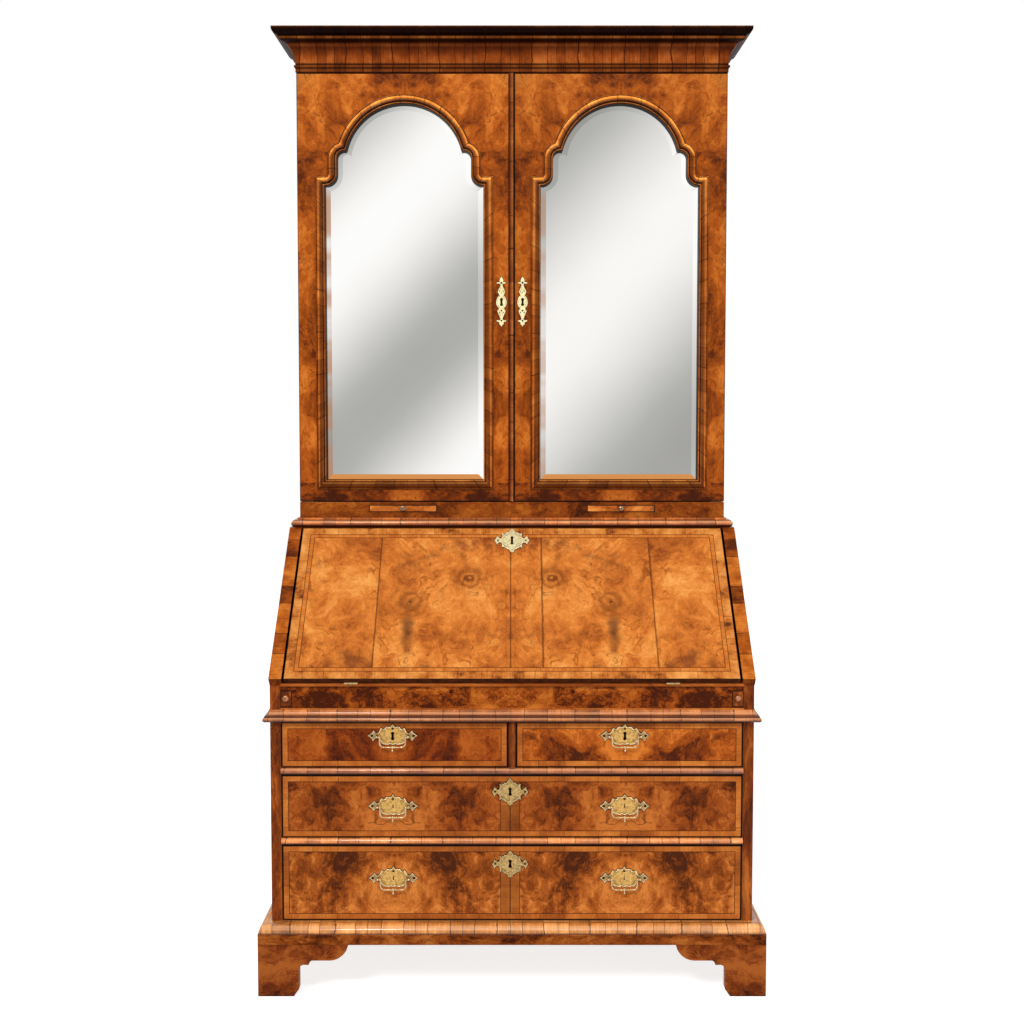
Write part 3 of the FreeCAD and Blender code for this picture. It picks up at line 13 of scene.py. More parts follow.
import bmesh
import bpy
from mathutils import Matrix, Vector


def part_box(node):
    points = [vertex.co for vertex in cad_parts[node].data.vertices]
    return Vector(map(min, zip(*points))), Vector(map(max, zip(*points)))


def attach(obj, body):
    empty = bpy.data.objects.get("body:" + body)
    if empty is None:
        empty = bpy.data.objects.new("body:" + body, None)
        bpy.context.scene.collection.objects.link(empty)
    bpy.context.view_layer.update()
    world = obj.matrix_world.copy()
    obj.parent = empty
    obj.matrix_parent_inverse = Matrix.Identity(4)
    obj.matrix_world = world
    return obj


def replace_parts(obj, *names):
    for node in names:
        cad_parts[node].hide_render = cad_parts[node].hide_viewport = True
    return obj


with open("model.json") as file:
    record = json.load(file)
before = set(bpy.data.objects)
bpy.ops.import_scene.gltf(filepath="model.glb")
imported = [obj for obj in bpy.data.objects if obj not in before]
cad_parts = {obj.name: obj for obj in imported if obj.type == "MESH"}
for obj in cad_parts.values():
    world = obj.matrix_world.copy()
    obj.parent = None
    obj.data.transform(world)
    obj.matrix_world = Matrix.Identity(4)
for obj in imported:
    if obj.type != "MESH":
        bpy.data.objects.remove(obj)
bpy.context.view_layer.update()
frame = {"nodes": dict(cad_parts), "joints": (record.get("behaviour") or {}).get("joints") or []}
nodes = frame["nodes"]
MM = 0.001

# %% [markdown]
# ## The planes that everything is set out from
# A cabinet maker sets out from a few lines: the face of the carcase, the face of the doors, the
# line on which the fall turns. They could be typed in again, but reading them from the frame
# keeps the dress on the body if a size changes.

# %% Read the main planes and pivots
CASE_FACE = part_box("frieze")[0].y
DOOR_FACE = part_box("door_frame_left")[0].y
joints = {joint["name"]: joint for joint in frame["joints"]}
FALL_PIVOT = Vector(joints["fall_hinge"]["pos_m"])
fall_low, fall_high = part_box("fall_panel")
FALL_THICK = 16 * MM
FALL_TILT = math.radians(180 - joints["fall_hinge"]["range_deg"][1])
UP_SLOPE = Vector((0, math.cos(FALL_TILT), math.sin(FALL_TILT)))
OFF_SLOPE = Vector((0, -math.sin(FALL_TILT), math.cos(FALL_TILT)))
ACROSS, UPWARD, OUTWARD = Vector((1, 0, 0)), Vector((0, 0, 1)), Vector((0, -1, 0))
print("case face", round(CASE_FACE, 4), "door face", round(DOOR_FACE, 4),
      "slope", round(math.degrees(FALL_TILT), 2))

# %% [markdown]
# ## A finisher's kit
# Every finish here is mixed from the same few nodes: the place on the piece, noise, sums, and
# a ramp of tones. Writing the nodes out each time would bury the idea, so this class keeps one
# material's nodes together and gives each step a short name. Patterns use the Object place,
# which is in metres and stays on the piece when a door swings.


class Finish:
    """One material at work. Each call adds a node and gives back its result.

    plus, less, times and times_plus (a times b plus c) are sums, size drops the sign, above and
    below give 1 or 0, least and most pick one of two, and fold runs up to a limit and back.
    Of places, stretch scales each way, length is the distance from the origin, and along is how
    far a place lies in some direction.
    """

    def __init__(self, name, **levels):
        self.material = bpy.data.materials.new(name)
        self.material.use_nodes = True
        self.nodes = self.material.node_tree.nodes
        self.links = self.material.node_tree.links
        self.shader = self.nodes["Principled BSDF"]
        for socket, level in levels.items():
            self.shader.inputs[socket.replace("_", " ")].default_value = level
        spot = self.nodes.new("ShaderNodeTexCoord")
        self.place, self.normal, self.flat = (spot.outputs[key] for key in (
            "Object", "Normal", "UV"))

    def node(self, kind, feeds=(), out=0, **settings):
        made = self.nodes.new("ShaderNode" + kind)
        for name, value in settings.items():
            setattr(made, name, value)
        for key, value in dict(feeds).items():
            if isinstance(value, bpy.types.NodeSocket):
                self.links.new(value, made.inputs[key])
            else:
                made.inputs[key].default_value = value
        return made.outputs[out]

    def reckon(self, operation, *values):
        return self.node("Math", enumerate(values), operation=operation)

    plus = partialmethod(reckon, "ADD")
    less = partialmethod(reckon, "SUBTRACT")
    times = partialmethod(reckon, "MULTIPLY")
    times_plus = partialmethod(reckon, "MULTIPLY_ADD")
    size = partialmethod(reckon, "ABSOLUTE")
    above = partialmethod(reckon, "GREATER_THAN")
    below = partialmethod(reckon, "LESS_THAN")
    least = partialmethod(reckon, "MINIMUM")
    most = partialmethod(reckon, "MAXIMUM")
    fold = partialmethod(reckon, "PINGPONG")

    def reckon_place(self, operation, *places, out=0):
        return self.node("VectorMath", enumerate(places), out, operation=operation)

    stretch = partialmethod(reckon_place, "MULTIPLY")
    length = partialmethod(reckon_place, "LENGTH", out="Value")
    along = partialmethod(reckon_place, "DOT_PRODUCT", out="Value")

    def parts(self, where):
        made = self.nodes.new("ShaderNodeSeparateXYZ")
        self.links.new(where, made.inputs[0])
        return made.outputs

    def join(self, x, y, z=0.0):
        return self.node("CombineXYZ", {0: x, 1: y, 2: z})

    def noise(self, where, scale, detail=3.0, rough=0.55, out="Fac"):
        return self.node("TexNoise", {"Vector": where, "Scale": scale, "Detail": detail,
                                      "Roughness": rough}, out)

    def rise(self, value, low, high, smooth=True):
        """0 below one value, 1 above another, and a slope between."""
        return self.node("MapRange", {"Value": value, "From Min": low, "From Max": high},
                         interpolation_type="SMOOTHSTEP" if smooth else "LINEAR")

    def ramp(self, value, tones):
        made = self.nodes.new("ShaderNodeValToRGB")
        self.links.new(value, made.inputs[0])
        stops = made.color_ramp.elements
        for index, (spot, tone) in enumerate(tones):
            stop = stops[index] if index < 2 else stops.new(spot)
            stop.position = spot
            stop.color = (*tone, 1)
        return made.outputs[0]

    def lay(self, share, under, over, how="MIX"):
        """One colour laid over another by a share."""
        under, over = (tone if isinstance(tone, bpy.types.NodeSocket) else (*tone, 1)
                       for tone in (under, over))
        return self.node("Mix", {0: share, 6: under, 7: over}, 2, data_type="RGBA", blend_type=how)

    def finish(self, colour, relief=None, strength=0.1, depth=0.2 * MM, rough=None):
        self.links.new(colour, self.shader.inputs["Base Color"])
        if relief is not None:
            bump = self.node("Bump", {"Height": relief, "Strength": strength, "Distance": depth})
            self.links.new(bump, self.shader.inputs["Normal"])
        if rough is not None:
            self.links.new(rough, self.shader.inputs["Roughness"])
        return self.material


POLISH = {"Roughness": 0.42, "Specular_IOR_Level": 0.06, "Coat_Weight": 0.05,
          "Coat_Roughness": 0.14}
BRIGHT_POLISH = dict(POLISH, Coat_Weight=0.6, Coat_Roughness=0.13)
print("finisher's kit ready, polish", POLISH)

# %% [markdown]
# ## Walnut veneer
# Old walnut veneer is cut from roots and crotches, so its figure is clouds, drawn-out swirls,
# thin dark growth lines and open pores. A photograph of veneer would show one board only, and
# a plain wood pattern looks like pine. Here a soft noise bends the place before a second noise
# is read from it, which gives the swirl, and a sine of slow noise gives the growth lines.


# %% Walnut, oak and cross-grained bands
def veneer(kit, where, tones, figure=26.0, swirl=0.1, grain=(1, 1, 0.35), bite=1.0,
           lines=0.6):
    """The colour and the pores of figured veneer at a place."""
    along = kit.stretch(where, grain)
    bend = kit.reckon_place("SUBTRACT", kit.noise(along, figure * 0.35, 5.0, 0.6, "Color"),
                            (0.5, 0.5, 0.5))
    bent = kit.reckon_place("ADD", along, kit.stretch(bend, (swirl, swirl, swirl)))
    drift = kit.noise(bent, figure * 0.3, 3.0)
    clouds = kit.noise(bent, figure, 9.0, 0.72)
    wisps = kit.noise(kit.stretch(bent, (1, 1, 2.6)), figure * 3.4, 6.0, 0.7)
    fibre = kit.noise(kit.stretch(bent, (figure * 11, figure * 11, figure * 1.5)), 1.0, 3.0, 0.6)
    pores = kit.noise(kit.stretch(where, tuple(900 if share == 1 else 110 for share in grain)),
                      1.0, 2.0)
    depth = kit.times_plus(clouds, 2.9 * bite, 0.5 - 3.05 * bite)
    depth = kit.times_plus(drift, 2.0 * bite, depth)
    depth = kit.times_plus(wisps, 0.8 * bite, depth)
    depth = kit.times_plus(fibre, 0.4 * bite, depth)
    depth = kit.times_plus(kit.less(pores, 0.5), 0.4, depth)
    colour = kit.ramp(depth, tones)
    growth = kit.fold(kit.times(kit.noise(bent, figure * 0.5, 3.0), 13.0), 0.5)
    growth = kit.rise(growth, 0.1, 0.0)
    here = kit.rise(kit.noise(bent, figure * 0.9, 3.0), 0.48, 0.62)
    specks = kit.rise(kit.noise(bent, figure * 4.5, 2.0), 0.7, 0.76)
    dark = kit.most(kit.times(growth, here), specks)
    return kit.lay(kit.times(dark, lines), colour, [share * 0.6 for share in tones[0][1]]), pores


def crossband(kit, along, across, tones, pitch=0.034, joint=0.5 * MM, change=0.3, mottle=1.3):
    """Short pieces laid across a band, each of its own tone, with a dark joint between."""
    wander = kit.reckon("SINE", kit.times(along, 61.0))
    length = kit.times_plus(wander, 0.007, along)
    length = kit.times_plus(kit.noise(kit.place, 26.0), 0.009, length)
    length = kit.reckon("DIVIDE", length, pitch)
    piece = kit.reckon("FLOOR", length)
    tone = kit.node("TexWhiteNoise", {"W": piece}, "Value", noise_dimensions="1D")
    streak = kit.noise(kit.join(kit.times(along, 420.0), kit.times(across, 25.0), piece), 1.0, 3.0,
                       0.6)
    blotch = kit.noise(kit.place, 24.0, 6.0, 0.66)
    near = kit.fold(length, 0.5)
    open_joint = kit.rise(near, 0.0, joint / pitch)
    depth = kit.times_plus(tone, change, 0.15 - change / 2 - mottle / 2)
    depth = kit.times_plus(streak, 0.7, depth)
    depth = kit.times_plus(blotch, mottle, depth)
    colour = kit.ramp(depth, tones)
    return kit.lay(open_joint, [share * 0.4 for share in tones[0][1]], colour), open_joint


FALL_TONES = [(0.0, (0.26, 0.052, 0.007)), (0.32, (0.55, 0.142, 0.02)),
              (0.6, (0.76, 0.226, 0.034)), (1.0, (0.97, 0.4, 0.09))]
DOOR_TONES = [(0.0, (0.1, 0.017, 0.001)), (0.27, (0.27, 0.053, 0.003)),
              (0.55, (0.45, 0.096, 0.007)), (0.95, (0.72, 0.21, 0.026))]
DRAWER_TONES = [(0.0, (0.06, 0.01, 0.001)), (0.26, (0.2, 0.038, 0.003)),
                (0.53, (0.37, 0.08, 0.009)), (0.95, (0.64, 0.19, 0.033))]
DARK_TONES = [(0.0, (0.018, 0.003, 0.001)), (0.34, (0.12, 0.021, 0.002)),
              (0.62, (0.25, 0.05, 0.005)), (1.0, (0.54, 0.15, 0.024))]
BAND_TONES = [(0.0, (0.2, 0.04, 0.005)), (0.5, (0.5, 0.13, 0.018)), (1.0, (0.8, 0.27, 0.045))]
RED_TONES = [(0.0, (0.06, 0.011, 0.002)), (0.5, (0.25, 0.053, 0.008)), (1.0, (0.5, 0.14, 0.03))]
OAK_TONES = [(0.15, (0.22, 0.1, 0.035)), (0.5, (0.36, 0.19, 0.075)), (0.85, (0.48, 0.28, 0.12))]
LINE_TONE = (0.05, 0.01, 0.002)
# GAP_TONE is near black. It is painted shade for the gaps round fronts, doors, the fall and the
# slides, and the black of pits in the burr and of the wax and painted shadow round the brasses.
GAP_TONE = (0.006, 0.002, 0.001)


def dim(tones, red, green=None, blue=None):
    """The same tones, all darker or lighter, or turned towards red or yellow."""
    by = (red, green or red, blue or red)
    return [(spot, [share * part for share, part in zip(tone, by)]) for spot, tone in tones]


def oak(kit, where=None):
    """Plain quartered oak, its grain along the longer way of the boards."""
    where = where or kit.place
    fibre = kit.noise(kit.stretch(where, (14, 90, 90)), 1.0, 4.0)
    rays = kit.noise(kit.stretch(where, (60, 300, 300)), 1.0, 2.0)
    depth = kit.times_plus(rays, 0.3, kit.times(fibre, 0.75))
    return kit.ramp(depth, OAK_TONES), rays


def dark_edge(kit):
    """The edge faces of a panel, painted near black as painted shade for the gap round it when it
    is shut; seen in full only when it is open.
    """
    # Painted shade for the gap, varied by a slow noise.
    patchiness = kit.noise(kit.place, 60.0, 4.0)
    return kit.ramp(patchiness, [(0.35, (0.03, 0.006, 0.001)), (0.65, (0.1, 0.022, 0.004))])


print("veneer tones:", len(FALL_TONES + DOOR_TONES + DRAWER_TONES + DARK_TONES), "stops")

# %% [markdown]
# ## Veneered panels
# A drawer front is a flat board of oak with a picture laid on it: a crossband round the edge,
# a thin dark line, and leaves of burr opened like a book, so that the figure mirrors at each
# seam. The layout could be cut into the mesh, but veneer has no thickness to see, so it is
# drawn by distances in the material: how far to the nearest edge, and which edge that is.


# %% The layout of a banded panel
def to_edge(kit, across, up, box):
    """Distance to the nearest edge of a rectangle, and the place along that edge."""
    left, right, foot, head = box
    side = kit.least(kit.less(across, left), kit.less(right, across))
    level = kit.least(kit.less(up, foot), kit.less(head, up))
    upright = kit.below(side, level)
    along = kit.times_plus(upright, kit.less(up, across), across)
    return kit.least(side, level), along


SOFT_LINE = 0.25 * MM


def between(kit, value, low, high):
    """1 between two limits and 0 outside them."""
    return kit.times(kit.rise(value, low - SOFT_LINE, low + SOFT_LINE),
                     kit.rise(value, high + SOFT_LINE, high - SOFT_LINE))


def faces(kit, direction, limit=0.5):
    """1 on the faces that look one way."""
    return kit.above(kit.along(kit.normal, direction), limit)


def dress(node, material):
    """Gives a node of the frame its finish."""
    nodes[node].data.materials.clear()
    nodes[node].data.materials.append(material)
    return material


BAND, STRIP = 12.5 * MM, 20 * MM  # crossband, and half the upright strip in the middle


def drawer_veneer(name, seam, middle, cut, tones):
    """A drawer front: crossband, dark line, and burr opened like a book about a seam."""
    low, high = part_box(f"drawer_front_{name}")
    kit = Finish(f"veneer_drawer_{name}", **POLISH)
    x, y, z = kit.parts(kit.place)
    depth, along = to_edge(kit, x, z, (low.x, high.x, low.z, high.z))
    if middle is None:
        opened = kit.size(kit.less(x, seam))
    else:
        far = kit.size(kit.less(x, middle))
        opened = kit.size(kit.less(far, seam))
    leaf = kit.join(kit.plus(opened, cut), y, z)
    colour, pores = veneer(kit, leaf, tones, 13.0, 0.2, (1, 1, 0.9), 1.1)
    band, _ = crossband(kit, along, depth, BAND_TONES, 0.06)
    if middle is not None:
        centre, _ = crossband(kit, z, x, dim(BAND_TONES, 0.72), 0.08)
        colour = kit.lay(between(kit, far, 0, STRIP), colour, centre)
        colour = kit.lay(between(kit, far, -1 * MM, 1 * MM), colour, LINE_TONE)
        colour = kit.lay(between(kit, far, STRIP - 0.5 * MM, STRIP + 0.6 * MM), colour, LINE_TONE)
    colour = kit.lay(kit.rise(depth, BAND + 0.3 * MM, BAND), colour, band)
    colour = kit.lay(between(kit, depth, BAND + 0.1 * MM, BAND + 1.4 * MM), colour, LINE_TONE)
    # Painted shade: the outer 1.2 to 2.6 mm of the front are painted near black for the gap round
    # the drawer, and its edge faces get dark_edge's painted shade.
    colour = kit.lay(kit.rise(depth, 2.6 * MM, 1.2 * MM), colour, GAP_TONE)
    colour = kit.lay(faces(kit, OUTWARD, 0.8), dark_edge(kit), colour)
    back, _ = oak(kit)
    colour = kit.lay(faces(kit, (0, 1, 0)), colour, back)
    return dress(f"drawer_front_{name}", kit.finish(colour, pores, 0.12))


handle_x = {side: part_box(f"bail_top_{side}")[0].x / 2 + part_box(f"bail_top_{side}")[1].x / 2
            for side in ("left", "right")}
MIDDLE_X = -4 * MM
LEAF_SEAM = 244 * MM
for name, seam, middle, cut, by in (
        ("top_left", handle_x["left"], None, 3.1, (0.8, 0.62, 0.38)),
        ("top_right", handle_x["right"], None, 4.7, (1.22, 1.15, 0.85)),
        ("middle", LEAF_SEAM, MIDDLE_X, 8.3, (1.0, 0.97, 0.93)),
        ("bottom", LEAF_SEAM, MIDDLE_X, 6.4, (1.24, 1.36, 1.45))):
    drawer_veneer(name, seam, middle, cut, dim(DRAWER_TONES, *by))
print("veneered 4 drawer fronts, seams at", {key: round(x, 3) for key, x in handle_x.items()})

# %% [markdown]
# ## The fall
# The sloping flap is the show piece: four leaves of pale burr, opened about the middle and
# about a seam on either side, with ringed knots, inside a feather band and a crossband. The
# pattern is laid out in the flap's own plane, by measuring up the slope from the hinge line.


# %% Veneer the fall
def knots(kit, across, up, spots):
    """Ringed knots: dark eyes with wavering rings that fade outwards."""
    dark = None
    for middle_x, middle_up, reach in spots:
        far = kit.length(kit.join(kit.less(across, middle_x), kit.less(up, middle_up)))
        wave = kit.noise(kit.join(across, up), 32.0, 3.0)
        far = kit.times_plus(wave, reach * 0.9, far)
        rings = kit.times_plus(kit.reckon("SINE", kit.times(far, 14 / reach)), 0.35, 0.5)
        fade = kit.rise(far, reach * 1.7, reach * 0.5)
        one = kit.times(rings, fade)
        dark = one if dark is None else kit.most(dark, one)
    return dark


kit = Finish("veneer_fall", **POLISH)
x, y, z = kit.parts(kit.place)
up = kit.along(kit.reckon_place("SUBTRACT", kit.place, FALL_PIVOT), UP_SLOPE)
fall_long = (fall_high.z - FALL_PIVOT.z - FALL_THICK * math.cos(FALL_TILT)) / math.sin(FALL_TILT)
depth, along = to_edge(kit, x, up, (fall_low.x, fall_high.x, 0.0, fall_long))
far = kit.size(kit.plus(x, 3 * MM))
FALL_SEAM, SEAM_SHIFT = 301 * MM, 10 * MM
KNOTS = [(91 * MM, 272 * MM, 44 * MM), (220 * MM, 205 * MM, 40 * MM)]  # across, up, reach
PITS = [(222 * MM, 200 * MM, 13 * MM), (219 * MM, 120 * MM, 9 * MM)]
seam = kit.times_plus(kit.reckon("SIGN", x), SEAM_SHIFT, FALL_SEAM)
opened = kit.fold(far, seam)
leaf = kit.join(opened, kit.times(kit.above(far, seam), 0.4), up)
colour, pores = veneer(kit, leaf, FALL_TONES, 14.0, 0.16, (1, 1, 0.8), 0.85, 0.6)
colour = kit.lay(knots(kit, far, up, KNOTS), colour, (0.16, 0.033, 0.006))
smear = kit.join(kit.less(far, 222 * MM), kit.times(kit.less(up, 120 * MM), 0.3))
smear = kit.times_plus(kit.noise(leaf, 30.0, 5.0), 34 * MM, kit.length(smear))
colour = kit.lay(kit.times(kit.rise(smear, 37 * MM, 20 * MM), 0.7), colour, (0.08, 0.026, 0.012))
colour = kit.lay(knots(kit, far, up, PITS), colour, GAP_TONE)
smoke = kit.rise(kit.noise(kit.reckon_place("ADD", leaf, (0, 7.3, 0)), 9.0, 6.0, 0.68), 0.56, 0.7)
colour = kit.lay(kit.times(smoke, 0.75), colour, (0.19, 0.046, 0.013))
seams = kit.least(far, kit.size(kit.less(far, seam)))
patchiness = kit.times(kit.noise(kit.join(seam, up), 22.0, 5.0, 0.7), 5.5 * MM)
colour = kit.lay(kit.times(kit.rise(seams, patchiness, 0.4 * MM), 0.75), colour, (0.12, 0.026, 0.005))
crack = kit.times_plus(kit.noise(kit.join(up, 0.0), 40.0), 6 * MM, -66 * MM - 3 * MM)
crack = kit.size(kit.plus(x, crack))
colour = kit.lay(kit.times(kit.rise(crack, 3.2 * MM, 0.4 * MM), 0.8), colour, (0.12, 0.026, 0.006))
band, _ = crossband(kit, along, depth, [
    (0.0, (0.12, 0.026, 0.005)), (0.36, (0.6, 0.17, 0.026)), (1.0, (0.95, 0.4, 0.09))], 0.055,
    mottle=2.6)
feather, _ = crossband(kit, along, depth, FALL_TONES, 0.012, 0.3 * MM, 0.2, 0.8)
for strip, none, whole, line_from, line_to in ((feather, 29.3, 28.8, 28.6, 29.8),
                                               (band, 19.8, 19.2, 19.2, 20.4)):
    colour = kit.lay(kit.rise(depth, none * MM, whole * MM), colour, strip)
    colour = kit.lay(between(kit, depth, line_from * MM, line_to * MM), colour, LINE_TONE)
# Painted shade: the outer 0.8 to 1.8 mm of the fall are painted near black for the gap round it,
# and its edge faces get dark_edge's painted shade.
colour = kit.lay(kit.rise(depth, 1.8 * MM, 0.8 * MM), colour, GAP_TONE)
colour = kit.lay(faces(kit, OFF_SLOPE, 0.8), dark_edge(kit), colour)
inside, _ = veneer(kit, kit.join(far, up, 1.0), DRAWER_TONES, 16.0, 0.1, (1, 0.3, 1))
colour = kit.lay(faces(kit, -OFF_SLOPE), colour, inside)
dress("fall_panel", kit.finish(colour, pores, 0.12))
print("veneered the fall,", round(fall_long * 1000), "mm up the slope")

# %% [markdown]
# ## The doors
# Each door is a frame round an arched mirror, covered with veneer opened about its own middle.
# Above a level joint the leaves fan out towards the upper corners, and below it they run down
# the stiles in shorter pieces. Leaning the place over by a share of its height gives the fan.


# %% Veneer the doors
TOP_JOINT, PIECE_LONG = 1812 * MM, 0.19
SILL_HIGH, CORNER, FAN_LEAN = 44 * MM, 45 * MM, 0.7071
for side in ("left", "right"):
    low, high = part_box(f"door_frame_{side}")
    middle = (low.x + high.x) / 2
    kit = Finish(f"veneer_door_{side}", **POLISH)
    x, y, z = kit.parts(kit.place)
    far = kit.size(kit.less(x, middle))
    above = kit.above(z, TOP_JOINT)
    lean = kit.times(above, FAN_LEAN)
    turned_across = kit.less(far, kit.times(lean, z))
    turned_up = kit.plus(z, kit.times(lean, far))
    leaf = kit.join(turned_across, y, turned_up)
    colour, pores = veneer(kit, leaf, dim(DOOR_TONES, 1.07 if side == "left" else 0.96), 17.0,
                           0.16, (1, 1, 0.7), 0.9)
    piece = kit.fold(kit.less(TOP_JOINT, z), PIECE_LONG)
    level_joint = kit.rise(piece, 0.6 * MM, 0.1 * MM)
    colour = kit.lay(kit.times(level_joint, 0.6), colour, LINE_TONE)
    colour = kit.lay(kit.times(kit.rise(far, 0.7 * MM, 0.1 * MM), 0.7), colour, LINE_TONE)
    sill = kit.rise(z, low.z + SILL_HIGH, low.z + SILL_HIGH - 4 * MM)
    rail, _ = veneer(kit, kit.join(far, y, z), dim(DRAWER_TONES, 0.93, 0.86, 0.6), 20.0, 0.12,
                     (0.7, 1, 1))
    colour = kit.lay(sill, colour, rail)
    edge, _ = to_edge(kit, x, z, (low.x, high.x, low.z, high.z))
    mitre = kit.less(kit.plus(far, z), high.z + high.x - middle - CORNER)
    mitre = kit.times(kit.above(mitre, 0.0), 0.22)
    colour = kit.lay(mitre, colour, LINE_TONE)
    # Painted shade: the outer 0.8 to 2 mm of the door's face are painted near black for the gap
    # round it.
    colour = kit.lay(kit.rise(edge, 2.0 * MM, 0.8 * MM), colour, GAP_TONE)
    plain, _ = veneer(kit, kit.place, DARK_TONES, 20.0, 0.03, (1, 1, 0.15), 0.6)
    colour = kit.lay(faces(kit, OUTWARD, 0.8), plain, colour)
    dress(f"door_frame_{side}", kit.finish(colour, pores, 0.12))
print("veneered 2 doors, level joint at", TOP_JOINT)

# %% [markdown]
# ## Cross-grained mouldings
# The plinth, waist and cornice are faced with short blocks of walnut whose grain runs across
# the moulding, so a joint shows every few centimetres. The same crossband serves, counted
# along the front on the front lengths and along the depth on the returns. The tone changes
# with height, partly the members' own tone and partly painted light and shade for how the
# light falls on each member. The returns get painted shade, and on most of the mouldings the
# faces that look down get painted shade and the rounded crests a painted highlight.


# %% Dress the mouldings
def moulding(node, levels, pitch=0.036, polish=BRIGHT_POLISH, change=0.35, burr_below=0.0,
             divider=None, undersides=True):
    """A cross-grained moulding with painted light and shade by height: (height above its foot,
    colour factor) pairs.
    """
    low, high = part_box(node)
    kit = Finish(f"crossgrain_{node}", **polish)
    x, y, z = kit.parts(kit.place)
    nx, ny, nz = kit.parts(kit.normal)
    sideways = kit.above(kit.size(nx), kit.size(ny))
    along = kit.times_plus(sideways, kit.less(y, x), x)
    colour, joint = crossband(kit, along, z, RED_TONES, pitch, 1.3 * MM, change)
    if burr_below:
        burr, _ = veneer(kit, kit.join(along, sideways, z), DRAWER_TONES, 34.0, 0.1, (0.5, 1, 1))
        upper = kit.rise(z, low.z + burr_below, low.z + burr_below + 0.5 * MM)
        colour = kit.lay(upper, burr, colour)
        kit.links.new(upper, kit.shader.inputs["Coat Weight"])
    # Painted light and shade, with some of each member's own tone: each height gets a colour
    # factor for how the light falls on that member.
    share = kit.rise(z, low.z, high.z, False)
    tall = high.z - low.z
    painted_tint = kit.ramp(share, [(spot * MM / tall, tone) for spot, tone in levels])
    colour = kit.lay(1.0, colour, painted_tint, "MULTIPLY")
    # Painted shade: the returns, the faces that look sideways, are laid half way to the dark line
    # tone.
    colour = kit.lay(kit.times(sideways, 0.5), colour, LINE_TONE)
    if undersides:
        # Painted shade on the faces that look down, and a pale painted highlight on the crests
        # that look up and out.
        colour = kit.lay(kit.rise(nz, 0.0, -0.6), colour, LINE_TONE)
        wear_and_highlight = kit.times(kit.rise(nz, 0.2, 0.5), kit.rise(nz, 0.95, 0.75))
        colour = kit.lay(kit.times(wear_and_highlight, 0.5), colour, (0.95, 0.44, 0.19))
    bold = 0.8 if burr_below else 0.5 if undersides else 0.3
    open_joint = kit.times_plus(joint, -bold, bold)
    if burr_below:
        open_joint = kit.times(open_joint, upper)
    colour = kit.lay(open_joint, colour, LINE_TONE)
    if divider:
        upright = kit.times(kit.above(z, divider), kit.below(kit.size(x), 12 * MM))
        dark, _ = veneer(kit, kit.place, DARK_TONES, 40.0, 0.03, (1, 1, 0.2), 0.7)
        colour = kit.lay(upright, colour, dark)
        kit.links.new(kit.times_plus(upright, -0.8, 0.9), kit.shader.inputs["Coat Weight"])
    return dress(node, kit.finish(colour, joint, 0.25))


COVE_POLISH = dict(POLISH, Coat_Weight=0.02, Specular_IOR_Level=0.02)
moulding("plinth_moulding", [(0, (0.3, 0.3, 0.3)), (1.5, (0.8, 0.8, 0.8)),
                             (22, (0.8, 0.8, 0.8)), (23, (0.3, 0.3, 0.3)),
                             (25, (2.6, 4.2, 5.0)), (36, (3.6, 6.8, 10)),
                             (42, (3.0, 5.2, 7.4))], 0.033, burr_below=22 * MM)
moulding("mid_moulding", [(0, (0.3, 0.25, 0.25)), (3, (1.5, 1.8, 2.0)), (7, (2.0, 2.6, 3.4)),
                          (11, (0.25, 0.2, 0.2)), (14, (0.7, 0.6, 0.6)), (20, (2.2, 2.8, 3.8)),
                          (24, (2.4, 3.4, 4.8))])
moulding("waist_moulding", [(0, (0.04, 0.03, 0.03)), (3.5, (0.1, 0.1, 0.1)),
                            (7, (1.1, 1.1, 1.1)), (12, (2.7, 3.4, 3.8)),
                            (15, (2.0, 2.4, 2.6)), (15.8, (0.2, 0.2, 0.2)),
                            (17, (0.25, 0.2, 0.2)), (17.8, (2.2, 2.6, 2.2)),
                            (21, (2.0, 2.4, 2.0))])
moulding("cornice", [(0, (0.3, 0.25, 0.2)), (4, (0.9, 0.9, 0.9)), (9, (0.2, 0.2, 0.2)),
                     (13, (0.8, 0.8, 0.7)), (18, (0.08, 0.08, 0.08)), (22, (1.4, 1.4, 1.3)),
                     (33, (1.3, 1.2, 1.1)), (43, (0.8, 0.72, 0.65)), (52, (0.42, 0.36, 0.32)),
                     (57, (0.8, 0.8, 0.8)), (59, (0.6, 0.6, 0.6)), (62, (0.1, 0.08, 0.08)),
                     (66, (0.06, 0.06, 0.06)), (70, (1.1, 1.3, 1.3)), (73, (0.03, 0.02, 0.02)),
                     (86, (0.03, 0.02, 0.02)), (89, (0.1, 0.1, 0.1)), (91, (1.0, 1.2, 1.4))],
         0.026, COVE_POLISH, 0.3, undersides=False)
RAIL_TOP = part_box("drawer_front_top_left")[0].z
moulding("drawer_rails", [(0, (3.3, 4.5, 5.2)), (60, (3.3, 4.5, 5.2)), (90, (1.7, 2.0, 2.5)),
                          (270, (1.7, 2.0, 2.6))], divider=RAIL_TOP)
for foot in ("foot_front_left", "foot_front_right", "feet_rear"):
    kit = Finish(f"veneer_{foot}", **POLISH)
    x, y, z = kit.parts(kit.place)
    nx, ny, nz = kit.parts(kit.normal)
    sideways = kit.above(kit.size(nx), 0.7)
    along = kit.times_plus(sideways, kit.less(y, x), x)
    far = kit.size(along)
    colour, pores = veneer(kit, kit.join(far, 0.0, z), dim(DRAWER_TONES, 0.68, 0.6, 0.53), 26.0,
                           0.16, (0.8, 1, 1))
    colour = kit.lay(kit.rise(z, 3.0 * MM, 0.5 * MM), colour, LINE_TONE)
    dress(foot, kit.finish(colour, pores, 0.15))
print("dressed 5 mouldings and 4 feet")

# %% [markdown]
# ## The carcase
# The sides carry tall leaves of walnut; their front edges are faced with darker, straight
# wood, and the edging up the slope is cross-grained. What is never on show is plain oak. One
# material per board can hold all of this, because each face knows which way it looks.


